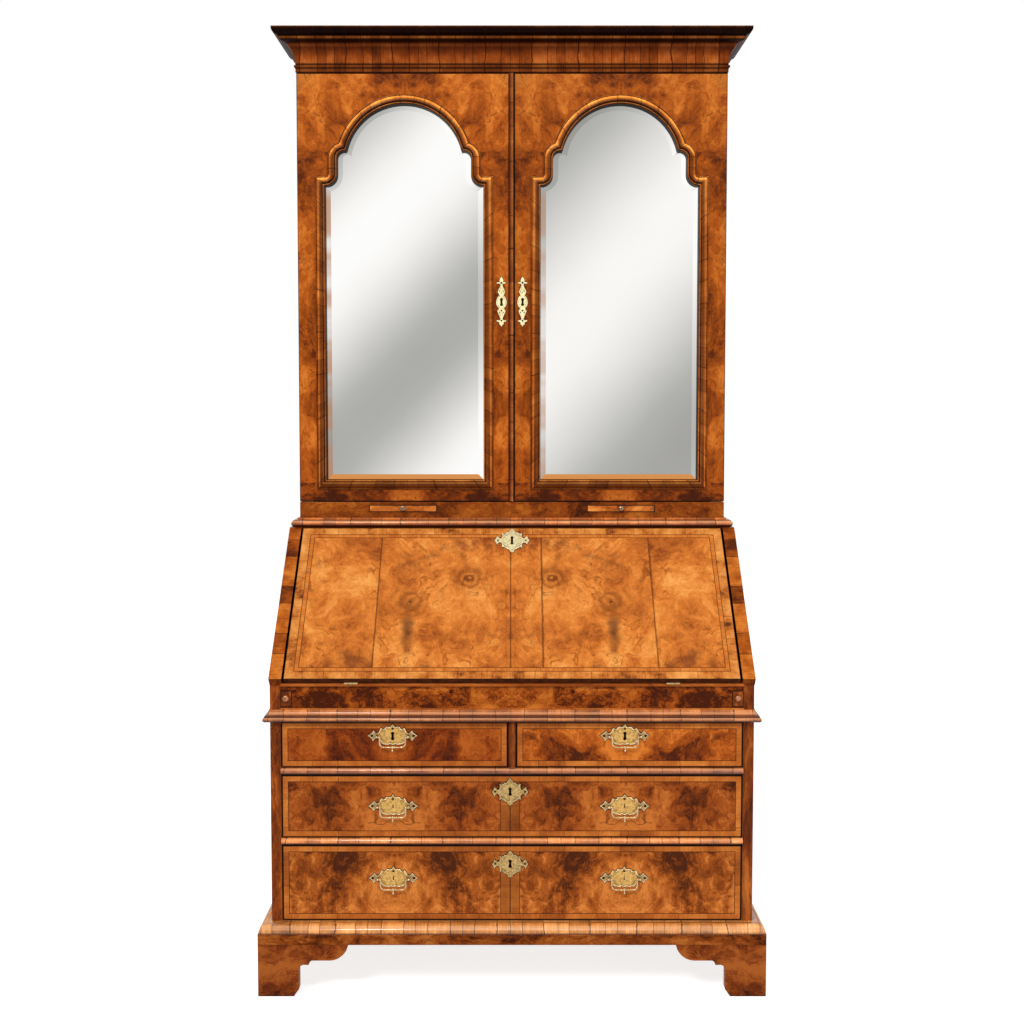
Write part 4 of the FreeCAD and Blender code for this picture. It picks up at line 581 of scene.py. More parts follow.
# %% Dress the carcase
EDGING_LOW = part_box("writing_board")[1].z
for node in ("case_side_left", "case_side_right", "bookcase_side_left", "bookcase_side_right"):
    outer = (-1, 0, 0) if "left" in node else (1, 0, 0)
    kit = Finish(f"veneer_{node}", **POLISH)
    x, y, z = kit.parts(kit.place)
    opened = kit.size(y)
    side, pores = veneer(kit, kit.join(opened, 0.3, z), DOOR_TONES, 20.0, 0.06, (1, 1, 0.35))
    side = kit.lay(kit.rise(opened, 0.6 * MM, 0.1 * MM), side, LINE_TONE)
    edge, _ = veneer(kit, kit.place, dim(DARK_TONES, 1.35 if node == "case_side_left" else 1.05),
                     34.0, 0.05, (1, 1, 0.2), 0.8)
    inner, _ = oak(kit, kit.join(z, y, x))
    colour = kit.lay(faces(kit, outer), edge, side)
    if node.startswith("case"):
        desk, _ = veneer(kit, kit.join(y, x, z), DRAWER_TONES, 16.0, 0.1, (1, 1, 0.5))
        inner = kit.lay(kit.above(z, EDGING_LOW - 2 * MM), inner, desk)
        # Painted shade: the inner faces beside the fall, down to 20 mm below the writing board's
        # top, are painted near black for the gap between the fall and the sides.
        beside_fall = kit.along(kit.reckon_place("SUBTRACT", kit.place, FALL_PIVOT), OFF_SLOPE)
        shaded_in_gap = kit.times(kit.above(beside_fall, -1 * MM), kit.above(z, EDGING_LOW - 20 * MM))
        inner = kit.lay(shaded_in_gap, inner, GAP_TONE)
    colour = kit.lay(faces(kit, tuple(-share for share in outer)), colour, inner)
    if node.startswith("case"):
        slope, _ = crossband(kit, z, x, DOOR_TONES, 0.045, 1.2 * MM, 0.7, 2.2)
        colour = kit.lay(faces(kit, OFF_SLOPE, 0.8), colour, slope)
    dress(node, kit.finish(colour, pores, 0.12))

kit = Finish("veneer_frieze", **dict(POLISH, Coat_Weight=0.02))
low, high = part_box("frieze")
x, y, z = kit.parts(kit.place)
colour, pores = veneer(kit, kit.join(kit.size(x), y, z), dim(DRAWER_TONES, 1.0, 0.93, 0.68), 20.0,
                       0.2, (0.8, 1, 1), 1.3, lines=1.0)
strip, _ = crossband(kit, x, z, BAND_TONES, 0.07)
colour = kit.lay(kit.rise(z, low.z + 3.2 * MM, low.z + 2.6 * MM), colour, strip)
dress("frieze", kit.finish(colour, pores, 0.12))

kit = Finish("veneer_candle_rail", **POLISH)
colour, pores = veneer(kit, kit.place, dim(DRAWER_TONES, 0.8, 0.77, 0.45), 20.0, 0.14,
                       (0.8, 1, 1), 0.8)
dress("candle_rail", kit.finish(colour, pores, 0.12))

kit = Finish("walnut_plain", **POLISH)
colour, pores = veneer(kit, kit.place, DRAWER_TONES, 18.0, 0.03, (0.15, 1, 1), 0.7)
plain_walnut = kit.finish(colour, pores, 0.15)
for node in ("writing_board", "desk_top", "desk_board", "pigeonholes", "bookcase_shelves"):
    dress(node, plain_walnut)


def rough_oak(name, upright):
    """Unpolished oak, for boards that lie down or stand up."""
    kit = Finish(name, Roughness=0.6, Specular_IOR_Level=0.25)
    x, y, z = kit.parts(kit.place)
    colour, pores = oak(kit, kit.join(z, y, x) if upright else kit.place)
    return kit.finish(colour, pores, 0.25, 0.4 * MM)


oak_boards, oak_upright = rough_oak("oak_boards", False), rough_oak("oak_upright", True)
for node in ("dust_boards", "loper_guides", "bookcase_decks", "drawer_box_top_left",
             "drawer_box_top_right", "drawer_box_middle", "drawer_box_bottom"):
    dress(node, oak_boards)
for node in ("case_back", "bookcase_back"):
    dress(node, oak_upright)
print("dressed", len([node for node in nodes.values() if node.data.materials]), "nodes")

# %% [markdown]
# ## Brass, mirror and dark fittings
# The plates are cast brass, filed, chased with a graver and rubbed pale over three centuries,
# with dirt left in the hollows. Noise over a warm base gives the rubbing; a metal needs its
# roughness to vary as well, or it looks like paint. The mirrors are silvered plate, and what
# they reflect is painted into their colour: a soft drift of tone across the glass, and a bevel
# painted lighter, darker or walnut brown by which way it faces.

# %% Metals and glass
def cast_brass(name, tones, low, high, shape=170.0, chased=0.0, middles=(), metal=1.0):
    """Brass with grime in its scratches and a roughness between two levels.

    Chased lines follow a slow noise, and the wings of a plate, far from its middle, are duller.
    """
    kit = Finish(name, Metallic=metal)
    rub = kit.noise(kit.place, shape, 4.0)
    relief = kit.noise(kit.place, 620.0, 3.0)
    depth = kit.times_plus(relief, 0.2, kit.times_plus(rub, 0.9, -0.07))
    colour = kit.ramp(depth, tones)
    if chased:
        relief = kit.fold(kit.times(kit.noise(kit.place, 130.0, 1.0), 4.0), 0.5)
        relief = kit.rise(relief, 0.04, 0.2)
        colour = kit.lay(kit.times(kit.less(1.0, relief), chased), colour, tones[0][1])
    if middles:
        x, _, _ = kit.parts(kit.place)
        far = kit.least(*(kit.size(kit.less(x, middle)) for middle in middles))
        colour = kit.lay(kit.times(kit.rise(far, *WING), 0.55), colour, WING_TONE)
    rough = kit.node("MapRange", {"Value": rub, "To Min": low, "To Max": high})
    return kit.finish(colour, relief, 0.35 if chased else 0.15, 0.15 * MM, rough)


WING, WING_TONE = (25 * MM, 31 * MM), (0.24, 0.17, 0.1)
PLATE_TONES = [(0.1, (0.17, 0.08, 0.015)), (0.45, (0.53, 0.31, 0.09)), (0.9, (0.86, 0.57, 0.22))]
PALE_TONES = [(0.0, (0.4, 0.26, 0.08)), (0.28, (0.82, 0.65, 0.28)), (0.6, (1.0, 0.92, 0.56))]
RIM_TONES = [(0.1, (0.4, 0.3, 0.15)), (0.45, (0.85, 0.72, 0.45)), (0.8, (1.0, 0.95, 0.75))]
BAIL_TONES = [(0.1, (0.16, 0.09, 0.03)), (0.5, (0.5, 0.36, 0.19)), (0.9, (0.8, 0.64, 0.4))]
handle_brass = cast_brass("brass_handle_plates", PLATE_TONES, 0.3, 0.55, chased=0.5,
                          middles=tuple(handle_x.values()))
brass = cast_brass("brass_plates", PALE_TONES, 0.26, 0.42, chased=0.3, metal=0.6)
drawer_brass = cast_brass("brass_drawer_plates", dim(PLATE_TONES, 0.78, 0.88, 1.15), 0.3, 0.5,
                          chased=0.65)
rim_brass = cast_brass("brass_rims", RIM_TONES, 0.2, 0.36, metal=0.6)
bail_brass = cast_brass("brass_bails", BAIL_TONES, 0.16, 0.34, 240.0)

IRON_GRAIN = 140.0
kit = Finish("iron_locks", Metallic=1.0)
rust = kit.noise(kit.place, IRON_GRAIN, 4.0)
colour = kit.ramp(rust, [(0.35, (0.05, 0.03, 0.02)), (0.6, (0.2, 0.17, 0.14))])
iron = kit.finish(colour, rust, 0.2, 0.1 * MM, kit.node(
    "MapRange", {"Value": rust, "To Min": 0.45, "To Max": 0.7}))


def silvered(side, lean, start, pace, level):
    """Painted reflection: a soft slanting change of tone across the glass, and a bevel painted
    lighter, darker or walnut brown by which way it faces.
    """
    kit = Finish(f"silvered_glass_{side}", Metallic=1.0, Roughness=0.05)
    x, y, z = kit.parts(kit.place)
    nx, ny, nz = kit.parts(kit.normal)
    # Painted reflection: a slanting wave of tone with a little noise, and the bevel painted
    # lighter or darker by which way it faces.
    slant = kit.plus(x, kit.times_plus(z, -lean, start))
    tone = kit.times_plus(kit.reckon("COSINE", kit.times(slant, pace)), 0.31, level)
    tone = kit.times_plus(kit.noise(kit.place, 5.0, 2.0), 0.08, tone)
    tone = kit.times_plus(nx, 2.6, tone)
    tone = kit.times_plus(nz, -2.0, tone)
    colour = kit.ramp(tone, [(0.0, (0.2, 0.19, 0.17)), (0.45, (0.45, 0.45, 0.43)),
                             (0.9, (0.92, 0.9, 0.87)), (1.0, (0.98, 0.98, 0.97))])
    # Painted reflection of the walnut round the glass: brown bands on the left-hand bevels below
    # about 1.7 m, and orange on the bevels that face down.
    part = kit.rise(kit.noise(kit.join(0.0, 0.0, z), 8.0), 0.4, 0.56)
    part = kit.times(part, kit.rise(nx, -0.042, -0.05))
    part = kit.times(part, kit.rise(z, 1740 * MM, 1700 * MM))
    colour = kit.lay(kit.times(part, 0.75 if side == "left" else 0.5), colour, (0.5, 0.23, 0.1))
    return kit.finish(kit.lay(kit.rise(nz, -0.042, -0.05), colour, (0.68, 0.28, 0.08)))


silver = {"left": silvered("left", 1.0, 1.951, 7.87, 0.66),
          "right": silvered("right", 0.909, 1.148, 6.08, 0.59)}
print("mixed brass, iron and silvered glass")

# %% [markdown]
# ## Tools for the small pieces
# The knobs and posts are turned, the bails are rods that swell and thin, the plates are cast and
# sawn to their outlines, and the boards are planed with eased edges. Five tools make all of
# these in one mesh: a board, a loft from ring to ring, a turning, a rod along a path, and a
# pierced plate. Primitive solids would do for size, but a turning needs its own profile and a
# sawn plate its own outline.


# %% The shaping tools
class Shape:
    """A piece being made: each tool adds to one mesh, and done() sets it on its body."""

    def __init__(self):
        self.mesh = bmesh.new()
        self.flat = self.mesh.loops.layers.uv.new("length")

    def board(self, low, high, ease=0.5 * MM):
        spots = [self.mesh.verts.new((x, y, z)) for x in (low[0], high[0])
                 for y in (low[1], high[1]) for z in (low[2], high[2])]
        sides = [(0, 1, 3, 2), (4, 6, 7, 5), (0, 4, 5, 1), (2, 3, 7, 6), (0, 2, 6, 4),
                 (1, 5, 7, 3)]
        made = [self.mesh.faces.new([spots[corner] for corner in side]) for side in sides]
        edges = list({edge for face in made for edge in face.edges})
        bmesh.ops.bevel(self.mesh, geom=edges, offset=ease, segments=2, profile=0.5,
                        affect="EDGES")
        return self

    def loft(self, rings, closed=False, lengths=None):
        """Faces from each ring of points to the next."""
        rows = [[self.mesh.verts.new(spot) for spot in ring] for ring in rings]
        pairs = list(zip(rows, rows[1:]))
        if closed:
            pairs.append((rows[-1], rows[0]))
        count = len(rows[0])
        for row, (first, second) in enumerate(pairs):
            for index in range(count):
                after = (index + 1) % count
                face = self.mesh.faces.new((first[index], first[after], second[after],
                                            second[index]))
                if lengths:
                    end = lengths[index + 1]
                    for loop, (u, v) in zip(face.loops, (
                            (lengths[index], row), (end, row), (end, row + 1),
                            (lengths[index], row + 1))):
                        loop[self.flat].uv = (u, v)
        if not closed:
            for row in (rows[0], rows[-1]):
                self.mesh.faces.new(row)
        return self

    def turning(self, foot, axis, profile, steps=32):
        """A turned piece from (distance along, radius) pairs."""
        axis = Vector(axis).normalized()
        across = axis.orthogonal().normalized()
        upward = axis.cross(across)
        rings = []
        for along, radius in profile:
            middle = Vector(foot) + axis * along
            rings.append([middle + (across * math.cos(turn) + upward * math.sin(turn)) * radius
                          for turn in (math.tau * step / steps for step in range(steps))])
        return self.loft(rings)

    def rod(self, spots, radii, steps=14):
        """A drawn rod through some points, with its own thickness at each."""
        rings = []
        spots = [Vector(spot) for spot in spots]
        side = None
        for index, spot in enumerate(spots):
            ahead = spots[min(index + 1, len(spots) - 1)] - spots[max(index - 1, 0)]
            ahead.normalize()
            side = ahead.orthogonal() if side is None else side - ahead * side.dot(ahead)
            side.normalize()
            upward = ahead.cross(side)
            rings.append([spot + (side * math.cos(turn) + upward * math.sin(turn))
                          * radii[index]
                          for turn in (math.tau * step / steps for step in range(steps))])
        return self.loft(rings)

    def plate(self, outline, holes, at, thick, ease=0.35 * MM):
        """A sawn plate: an outline and its holes in a plane, given as a place and three ways."""
        origin, right, upward, out = at

        def ring(points, level, inset):
            shifted = inset_outline(points, inset)
            return [self.mesh.verts.new(origin + right * u + upward * v + out * level)
                    for u, v in shifted]

        loops = [(outline, 1)] + [(hole, -1) for hole in holes]
        front, back = [], []
        for points, way in loops:
            rows = [ring(points, 0, 0), ring(points, thick - ease, 0),
                    ring(points, thick, ease * way)]
            for first, second in zip(rows, rows[1:]):
                for index in range(len(points)):
                    after = (index + 1) % len(points)
                    self.mesh.faces.new((first[index], first[after], second[after], second[index]))
            back += [self.mesh.edges.get((rows[0][index], rows[0][index - 1]))
                     for index in range(len(points))]
            front += [self.mesh.edges.get((rows[2][index], rows[2][index - 1]))
                      for index in range(len(points))]
        bmesh.ops.triangle_fill(self.mesh, edges=front, use_beauty=True, normal=out)
        bmesh.ops.triangle_fill(self.mesh, edges=back, use_beauty=True, normal=-out)
        return self

    def done(self, name, body, material, slot, smooth=35):
        bmesh.ops.recalc_face_normals(self.mesh, faces=self.mesh.faces)
        mesh = bpy.data.meshes.new(name)
        self.mesh.to_mesh(mesh)
        self.mesh.free()
        mesh.shade_smooth()
        mesh.set_sharp_from_angle(angle=math.radians(smooth))
        mesh.materials.append(material)
        piece = bpy.data.objects.new(name, mesh)
        bpy.context.scene.collection.objects.link(piece)
        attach(piece, body)
        return piece


def inset_outline(points, inset):
    """An outline moved in by a distance, each corner along its own bisector."""
    if not inset:
        return points
    area = sum(points[index - 1][0] * point[1] - point[0] * points[index - 1][1]
               for index, point in enumerate(points))
    way = 1 if area > 0 else -1
    moved = []
    for index, (u, v) in enumerate(points):
        before = Vector((u, v)) - Vector(points[index - 1])
        after = Vector(points[(index + 1) % len(points)]) - Vector((u, v))
        normal = (Vector((-before.y, before.x)).normalized()
                  + Vector((-after.y, after.x)).normalized())
        normal = normal.normalized() * way if normal.length else Vector((0, 0))
        moved.append((u + normal.x * inset, v + normal.y * inset))
    return moved


def round_hole(u, v, radius, steps=20):
    return [(u + radius * math.cos(math.tau * step / steps),
             v + radius * math.sin(math.tau * step / steps)) for step in range(steps)]


def keyhole(u, v, half=5.6 * MM, radius=2.8 * MM, waist=1.7 * MM, steps=10):
    """Two round ends joined by a narrower waist."""
    lift = math.asin(waist / radius)
    top = [(u + radius * math.sin(turn), v + half - radius * math.cos(turn)) for turn in (
        lift + (math.tau - 2 * lift) * step / steps for step in range(steps + 1))]
    return top + [(2 * u - x, 2 * v - y) for x, y in top]


print("shaping tools: board, loft, turning, rod, plate")

# %% [markdown]
# ## Outlines of the brass plates
# A plate is sawn to a symmetrical outline of lobes, leaves and cusps. Its right half is a list
# of points as shares of the half width and the half height. Straight sides between them would
# look cut with shears, so a smooth curve runs through the points and breaks only at the sharp
# ones, where the outline turns by more than a set angle.


# %% Sawn outlines
HANDLE_HALF = [
    (0, 1.13), (0.05, 0.93), (0.1, 0.8), (0.19, 0.84), (0.27, 0.82), (0.323, 0.646),
    (0.375, 0.629), (0.448, 0.759), (0.496, 0.62), (0.542, 0.38), (0.637, 0.224), (0.756, 0.502),
    (0.842, 0.253), (1, 0.025), (0.873, -0.152), (0.771, -0.43), (0.685, -0.249),
    (0.596, -0.207), (0.519, -0.316), (0.471, -0.549), (0.385, -0.726), (0.29, -0.743),
    (0.196, -0.785), (0.102, -0.717), (0, -0.785)]
SCUTCHEON_HALF = [
    (0, 0.927), (0.145, 0.719), (0.197, 0.593), (0.3, 0.634), (0.376, 0.511), (0.47, 0.489),
    (0.531, 0.552), (0.59, 0.489), (0.557, 0.322), (0.606, 0.158), (0.674, 0.126),
    (0.762, 0.24), (0.873, 0.322), (0.915, 0.114), (1, 0), (0.933, -0.136), (0.847, -0.344),
    (0.795, -0.24), (0.71, -0.158), (0.59, -0.218), (0.573, -0.385), (0.59, -0.53),
    (0.531, -0.562), (0.487, -0.489), (0.368, -0.574), (0.25, -0.66), (0.145, -0.729),
    (0.145, -0.842), (0.06, -0.874), (0, -1)]
DOOR_PLATE_HALF = [
    (0, 1), (0.224, 0.929), (0.408, 0.848), (0.296, 0.792), (0.6, 0.775), (0.93, 0.755),
    (0.9, 0.715), (0.48, 0.72), (0.224, 0.68), (0.184, 0.649), (0.48, 0.519), (0.704, 0.4),
    (0.56, 0.31), (0.4, 0.256), (0.776, 0.183), (1, 0.024), (0.96, -0.104), (0.704, -0.2),
    (0.48, -0.247), (0.776, -0.344), (0.632, -0.439), (0.184, -0.664), (0.48, -0.713),
    (0.93, -0.7), (0.88, -0.765), (0.408, -0.79), (0.408, -0.872), (0.184, -0.905), (0, -0.976)]
SHARP_TURN = math.radians(62)
PLATE_THICK, RIM_INSET, RIM_WIDE, RIM_HIGH = 1.8 * MM, 0.9 * MM, 0.75 * MM, 0.6 * MM
RIM_SECTION = [(RIM_WIDE * math.cos(turn), RIM_HIGH * math.sin(turn))
               for turn in (math.tau * step / 8 for step in range(8))]


def sawn_outline(half, wide, high, steps=3):
    """A closed outline from its right half, smooth except at its sharp points."""
    shares = half + [(-u, v) for u, v in half[-2:0:-1]]
    points = [Vector((u * wide, v * high)) for u, v in shares]
    count = len(points)
    ways = []
    for index, point in enumerate(points):
        before, after = point - points[index - 1], points[(index + 1) % count] - point
        sharp = before.angle(after, 0) > SHARP_TURN
        ways.append((before, after) if sharp else ((before + after) / 2, (before + after) / 2))
    outline = []
    for index in range(count):
        start, end = points[index], points[(index + 1) % count]
        leave, arrive = ways[index][1], ways[(index + 1) % count][0]
        for step in range(steps):
            t = step / steps
            outline.append(tuple(
                start * (2 * t ** 3 - 3 * t ** 2 + 1) + leave * (t ** 3 - 2 * t ** 2 + t) * 0.8
                + end * (3 * t ** 2 - 2 * t ** 3) + arrive * (t ** 3 - t ** 2) * 0.8))
    return outline


def graved_lines(shape, at, outline, scrolls, level):
    """Lines cut by the graver and filled with wax: one round the plate, and scrolls."""
    origin, right, upward, out = at
    inner = [(u * 0.8, v * 0.8) for u, v in outline]
    shape.rod([origin + right * u + upward * v + out * level for u, v in inner + inner[:1]],
              [0.32 * MM] * (len(inner) + 1), 6)
    for middle_u, middle_v, size, way in scrolls:
        spots = []
        for step in range(22):
            turn, reach = step / 21 * math.tau * 1.4, size * (1 - 0.8 * step / 21)
            spots.append(origin + right * (middle_u + reach * math.cos(turn) * way)
                         + upward * (middle_v + reach * math.sin(turn)) + out * level)
        shape.rod(spots, [0.36 * MM] * len(spots), 6)


def scutcheon(name, body, half, wide, high, at, material, holes=(), key=5.6 * MM, edging=None):
    """One engraved plate with its keyhole and any other holes, on a dark rim of old wax and
    painted shadow.
    """
    thick = PLATE_THICK
    origin, right, upward, out = at
    outline = sawn_outline(half, wide, high)
    cuts = list(holes) + ([keyhole(0, 0, key, 3.5 * MM, 2.3 * MM)] if key else [])
    shape = Shape().plate(outline, cuts, at, thick)
    # A thin near-black plate under the brass and 1.1 mm wider: old wax round the plate and its
    # painted shadow, and painted shade inside the keyhole.
    wax_and_shadow = Shape().plate(inset_outline(outline, -1.1 * MM), [keyhole(0, 0)] if key else [], at,
                        0.2 * MM, 0.05 * MM)
    size = min(wide, high) * 0.16
    graved_lines(wax_and_shadow, at, outline, [(sign * wide * 0.36, level * high * 0.42, size, sign)
                                    for sign in (-1, 1) for level in (-1, 1)],
                 thick - 0.2 * MM)
    wax_and_shadow.done(f"{name}_wax", body, wax_and_shadow_finish, "walnut", 30)
    if wide > 20 * MM:
        rim = inset_outline(outline, RIM_INSET)
        rim = [origin + right * u + upward * v + out * (thick - 0.1 * MM) for u, v in rim]
        Shape().loft([[spot + (spot - origin).normalized() * across + out * up
                       for across, up in RIM_SECTION] for spot in rim], closed=True).done(
            f"{name}_rim", body, edging or rim_brass, "brass", 50)
    return shape.done(name, body, material, "brass", 30)


# Near black, for the graver's wax-filled lines and for the rim round each plate, which is old wax
# and painted shadow.
kit = Finish("old_wax_and_shadow", Roughness=0.8, Specular_IOR_Level=0.05)
lumps = kit.noise(kit.place, 300.0, 3.0)
wax_and_shadow_finish = kit.finish(kit.ramp(lumps, [(0.3, GAP_TONE), (0.7, (0.03, 0.01, 0.004))]), lumps)
print("outlines of", len(HANDLE_HALF), len(SCUTCHEON_HALF), len(DOOR_PLATE_HALF), "points")

# %% [markdown]
# ## Handles
# A bail handle is a pierced plate, two ball-headed posts that go through the drawer front to a
# nut, and a loop that swings on pins in the posts. The loop could be bent from even wire, but a
# cast one swells and thins along its length and carries a small drop in the middle.

# %% Handle plates, posts and bails
POST_HALF = 33 * MM
PLATE_WIDE, PLATE_HIGH = 53 * MM, 23.7 * MM
HANDLES = [(f"{row}_{side}", f"drawer_{row}_{side}" if row == "top" else f"drawer_{row}")
           for row in ("top", "middle", "bottom") for side in ("left", "right")]
POST_PROFILE = [(-3.2, 0.1), (-3.0, 1.1), (-2.3, 2.3), (-1.1, 3.05), (0, 3.2), (1.1, 3.05),
                (2.2, 2.4), (3.0, 1.9), (3.6, 2.2), (4.4, 2.9), (5.2, 2.2), (6.6, 1.9),
                (8.2, 2.1), (10.0, 2.2), (30.0, 2.0)]
NUT_PROFILE = [(30.0, 2.0), (30.0, 4.6), (30.4, 5.0), (32.6, 5.0), (33.0, 4.6), (33.0, 0.1)]
BAIL_HALF, BAIL_DROP, BAIL_CORNER = 26.8 * MM, 22 * MM, 9 * MM
BAIL_THICK, DROP_HEAD = 1.12, 3.92 * MM
DROP_PROFILE = [(0, 0.2), (0.4, 1.2), (1.6, 2.2), (3.4, 2.8), (5.4, 2.5), (7.4, 1.6),
                (8.6, 1.3), (9.4, 2.0), (10.8, 2.5), (12.4, 2.1), (13.4, 1.3), (14, 0.1)]


def in_metres(profile):
    return [(along * MM, radius * MM) for along, radius in profile]


def bail_path():
    """Points and thicknesses of a loop hanging from its pins, in x and z."""
    right = [(POST_HALF, 0, 1.0), (28.6 * MM, 0, 1.0), (27.6 * MM, -0.1 * MM, 1.5),
             (26.9 * MM, -0.8 * MM, 1.7), (BAIL_HALF, -3 * MM, 1.3), (BAIL_HALF, -7 * MM, 1.6),
             (BAIL_HALF, BAIL_CORNER - BAIL_DROP, 1.75)]
    for step in range(1, 9):
        turn = math.pi / 2 * step / 8
        right.append((BAIL_HALF - BAIL_CORNER * (1 - math.cos(turn)),
                      BAIL_CORNER - BAIL_DROP - BAIL_CORNER * math.sin(turn),
                      1.75 - 0.35 * step / 8))
    right += [(10 * MM, -BAIL_DROP, 1.3), (5 * MM, -BAIL_DROP, 1.6)]
    return right + [(-x, z, thick) for x, z, thick in reversed(right)]


HANDLE_EYES = [round_hole(sign * POST_HALF, 0, 2.3 * MM) for sign in (-1, 1)]
HANDLE_EYES += [round_hole(sign * 43.6 * MM, 0.4 * MM, 2.6 * MM, 12) for sign in (-1, 1)]
HANDLE_EYES.append(round_hole(0, 15.4 * MM, 2.3 * MM, 12))
MOCK_KEYHOLE = keyhole(0, 0, 2.8 * MM, 1.2 * MM, 0.8 * MM, 6)
for name, body in HANDLES:
    locked = name.startswith("top")
    pivot = Vector(joints[f"handle_{name}_swing"]["pos_m"])
    face = Vector((pivot.x, CASE_FACE, pivot.z))
    plate = scutcheon(f"handle_plate_{name}", body, HANDLE_HALF, PLATE_WIDE, PLATE_HIGH,
                      (face, ACROSS, UPWARD, OUTWARD), handle_brass,
                      HANDLE_EYES + ([] if locked else [MOCK_KEYHOLE]),
                      key=5.6 * MM if locked else 0)
    posts = Shape()
    for sign in (-1, 1):
        head = pivot + ACROSS * POST_HALF * sign
        posts.turning(head, (0, 1, 0), in_metres(POST_PROFILE + NUT_PROFILE[1:]))
    posts.done(f"handle_posts_{name}", body, bail_brass, "brass", 40)
    bail = Shape()
    path = bail_path()
    bail.rod([pivot + ACROSS * x + UPWARD * z for x, z, _ in path],
             [thick * BAIL_THICK * MM for _, _, thick in path], 16)
    top = pivot - UPWARD * (BAIL_DROP - DROP_HEAD)
    bail.turning(top, -UPWARD, in_metres(DROP_PROFILE), 20)
    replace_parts(bail.done(f"bail_loop_{name}", f"handle_{name}", bail_brass, "brass", 50),
                f"bail_{name}")
    if locked:
        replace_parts(plate, f"drawer_brasses_{name}")
print("made", len(HANDLES), "handles")

# %% [markdown]
# ## Escutcheons and locks
# A plain escutcheon with a two-lobed keyhole sits above the handles on the long drawers, a
# taller one at the head of the fall, and a long slim one on each door. Behind each keyhole is
# an iron lock let into the wood: a box with four screws or, on the fall, a flat plate.

# %% Plates and locks of drawers, fall and doors
LOCK, SLIM_LOCK = (62 * MM, 9 * MM, 40 * MM), (26 * MM, 9 * MM, 80 * MM)
SCUTCHEON_UP, SCUTCHEON_SIZE = 31 * MM, (38.6 * MM, 31.7 * MM)
DOOR_PLATE_X, DOOR_PLATE_UP, DOOR_PLATE_SIZE = 24 * MM, 1474.9 * MM, (12 * MM, 57.8 * MM)
FALL_LOCK_UP, FALL_PLATE_SIZE, FINIAL_SHARE = 381.2 * MM, (40 * MM, 43.5 * MM), 0.93


def box_lock(name, body, middle_x, back, top, size=LOCK):
    """A lock case with four screws, behind a face at y, from its top edge down."""
    wide, deep, high = size
    shape = Shape().board((middle_x - wide / 2, back, top - high),
                          (middle_x + wide / 2, back + deep * 0.86, top), 0.8 * MM)
    for across in (-0.4, 0.4):
        for down in (0.14, 0.86):
            shape.turning((middle_x + across * wide, back + deep * 0.84, top - down * high),
                          (0, 1, 0), [(0, 2.4 * MM), (0.9 * MM, 2.2 * MM), (1.2 * MM, 0.1 * MM)],
                          16)
    return shape.done(name, body, iron, "brass", 30)


SCUTCHEON_EYES = [round_hole(sign * 31.6 * MM, 0, 2.2 * MM, 12) for sign in (-1, 1)]
DOOR_EYES = [round_hole(0, up * MM, radius * MM, 12)
             for up, radius in ((43.2, 2.1), (21, 1.1), (-19.5, 1.8), (-42, 1.6))]
FRONT_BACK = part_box("drawer_box_middle")[0].y
for row in ("middle", "bottom"):
    pivot = Vector(joints[f"handle_{row}_left_swing"]["pos_m"])
    centre = Vector((MIDDLE_X, CASE_FACE, pivot.z + SCUTCHEON_UP))
    plate = scutcheon(f"escutcheon_{row}", f"drawer_{row}", SCUTCHEON_HALF, *SCUTCHEON_SIZE,
                      (centre, ACROSS, UPWARD, OUTWARD), drawer_brass, SCUTCHEON_EYES,
                      edging=bail_brass)
    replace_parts(plate, f"drawer_brasses_{row}")
    top = min(centre.z + LOCK[2] / 2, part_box(f"drawer_box_{row}")[1].z)
    box_lock(f"lock_{row}", f"drawer_{row}", MIDDLE_X, FRONT_BACK, top)
for side in ("left", "right"):
    pivot = Vector(joints[f"handle_top_{side}_swing"]["pos_m"])
    top = min(pivot.z + LOCK[2] / 2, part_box(f"drawer_box_top_{side}")[1].z)
    box_lock(f"lock_top_{side}", f"drawer_top_{side}", pivot.x, FRONT_BACK, top)
    centre = Vector((-DOOR_PLATE_X if side == "left" else DOOR_PLATE_X, DOOR_FACE, DOOR_PLATE_UP))
    plate = scutcheon(f"door_plate_{side}", f"door_{side}", DOOR_PLATE_HALF, *DOOR_PLATE_SIZE,
                      (centre, ACROSS, UPWARD, OUTWARD), brass, DOOR_EYES)
    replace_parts(plate, f"door_brasses_{side}")
    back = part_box(f"door_frame_{side}")[1].y
    box_lock(f"door_lock_{side}", f"door_{side}", centre.x, back - SLIM_LOCK[1],
             centre.z + SLIM_LOCK[2] / 2, SLIM_LOCK)

centre = FALL_PIVOT + UP_SLOPE * FALL_LOCK_UP + OFF_SLOPE * FALL_THICK
fall_plate_wide, fall_plate_high = FALL_PLATE_SIZE
fall_plate_high = min(fall_plate_high, (fall_long - FALL_LOCK_UP - 2 * MM) / FINIAL_SHARE)
plate = scutcheon("fall_escutcheon", "fall", SCUTCHEON_HALF, fall_plate_wide, fall_plate_high,
                  (centre, ACROSS, UP_SLOPE, OFF_SLOPE), brass, SCUTCHEON_EYES, key=9 * MM)
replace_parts(plate, "fall_brasses")
print("made 5 escutcheons and 7 locks, the fall's", round(fall_plate_high, 4), "high")

# %% [markdown]
# ## Hinges
# The fall turns on two small brass knuckle hinges let into its inner edge, and the doors turn
# on pins in plates at their outer corners. Each knuckle is a turning with a fine gap to the
# next, and each leaf is a thin plate let into the wood. One leaf stays on the case, and the
# other rides on the fall.

# %% Fall hinges and door pivots
HINGE_X, HINGE_LONG, KNUCKLE, LEAF = 337 * MM, 29.3 * MM, 3 * MM, 1.5 * MM
THIRD, GAP, LEAF_GAP = HINGE_LONG / 3, 0.3 * MM, 0.05 * MM
BARREL = [(0, KNUCKLE - 0.4 * MM), (0.3 * MM, KNUCKLE)]


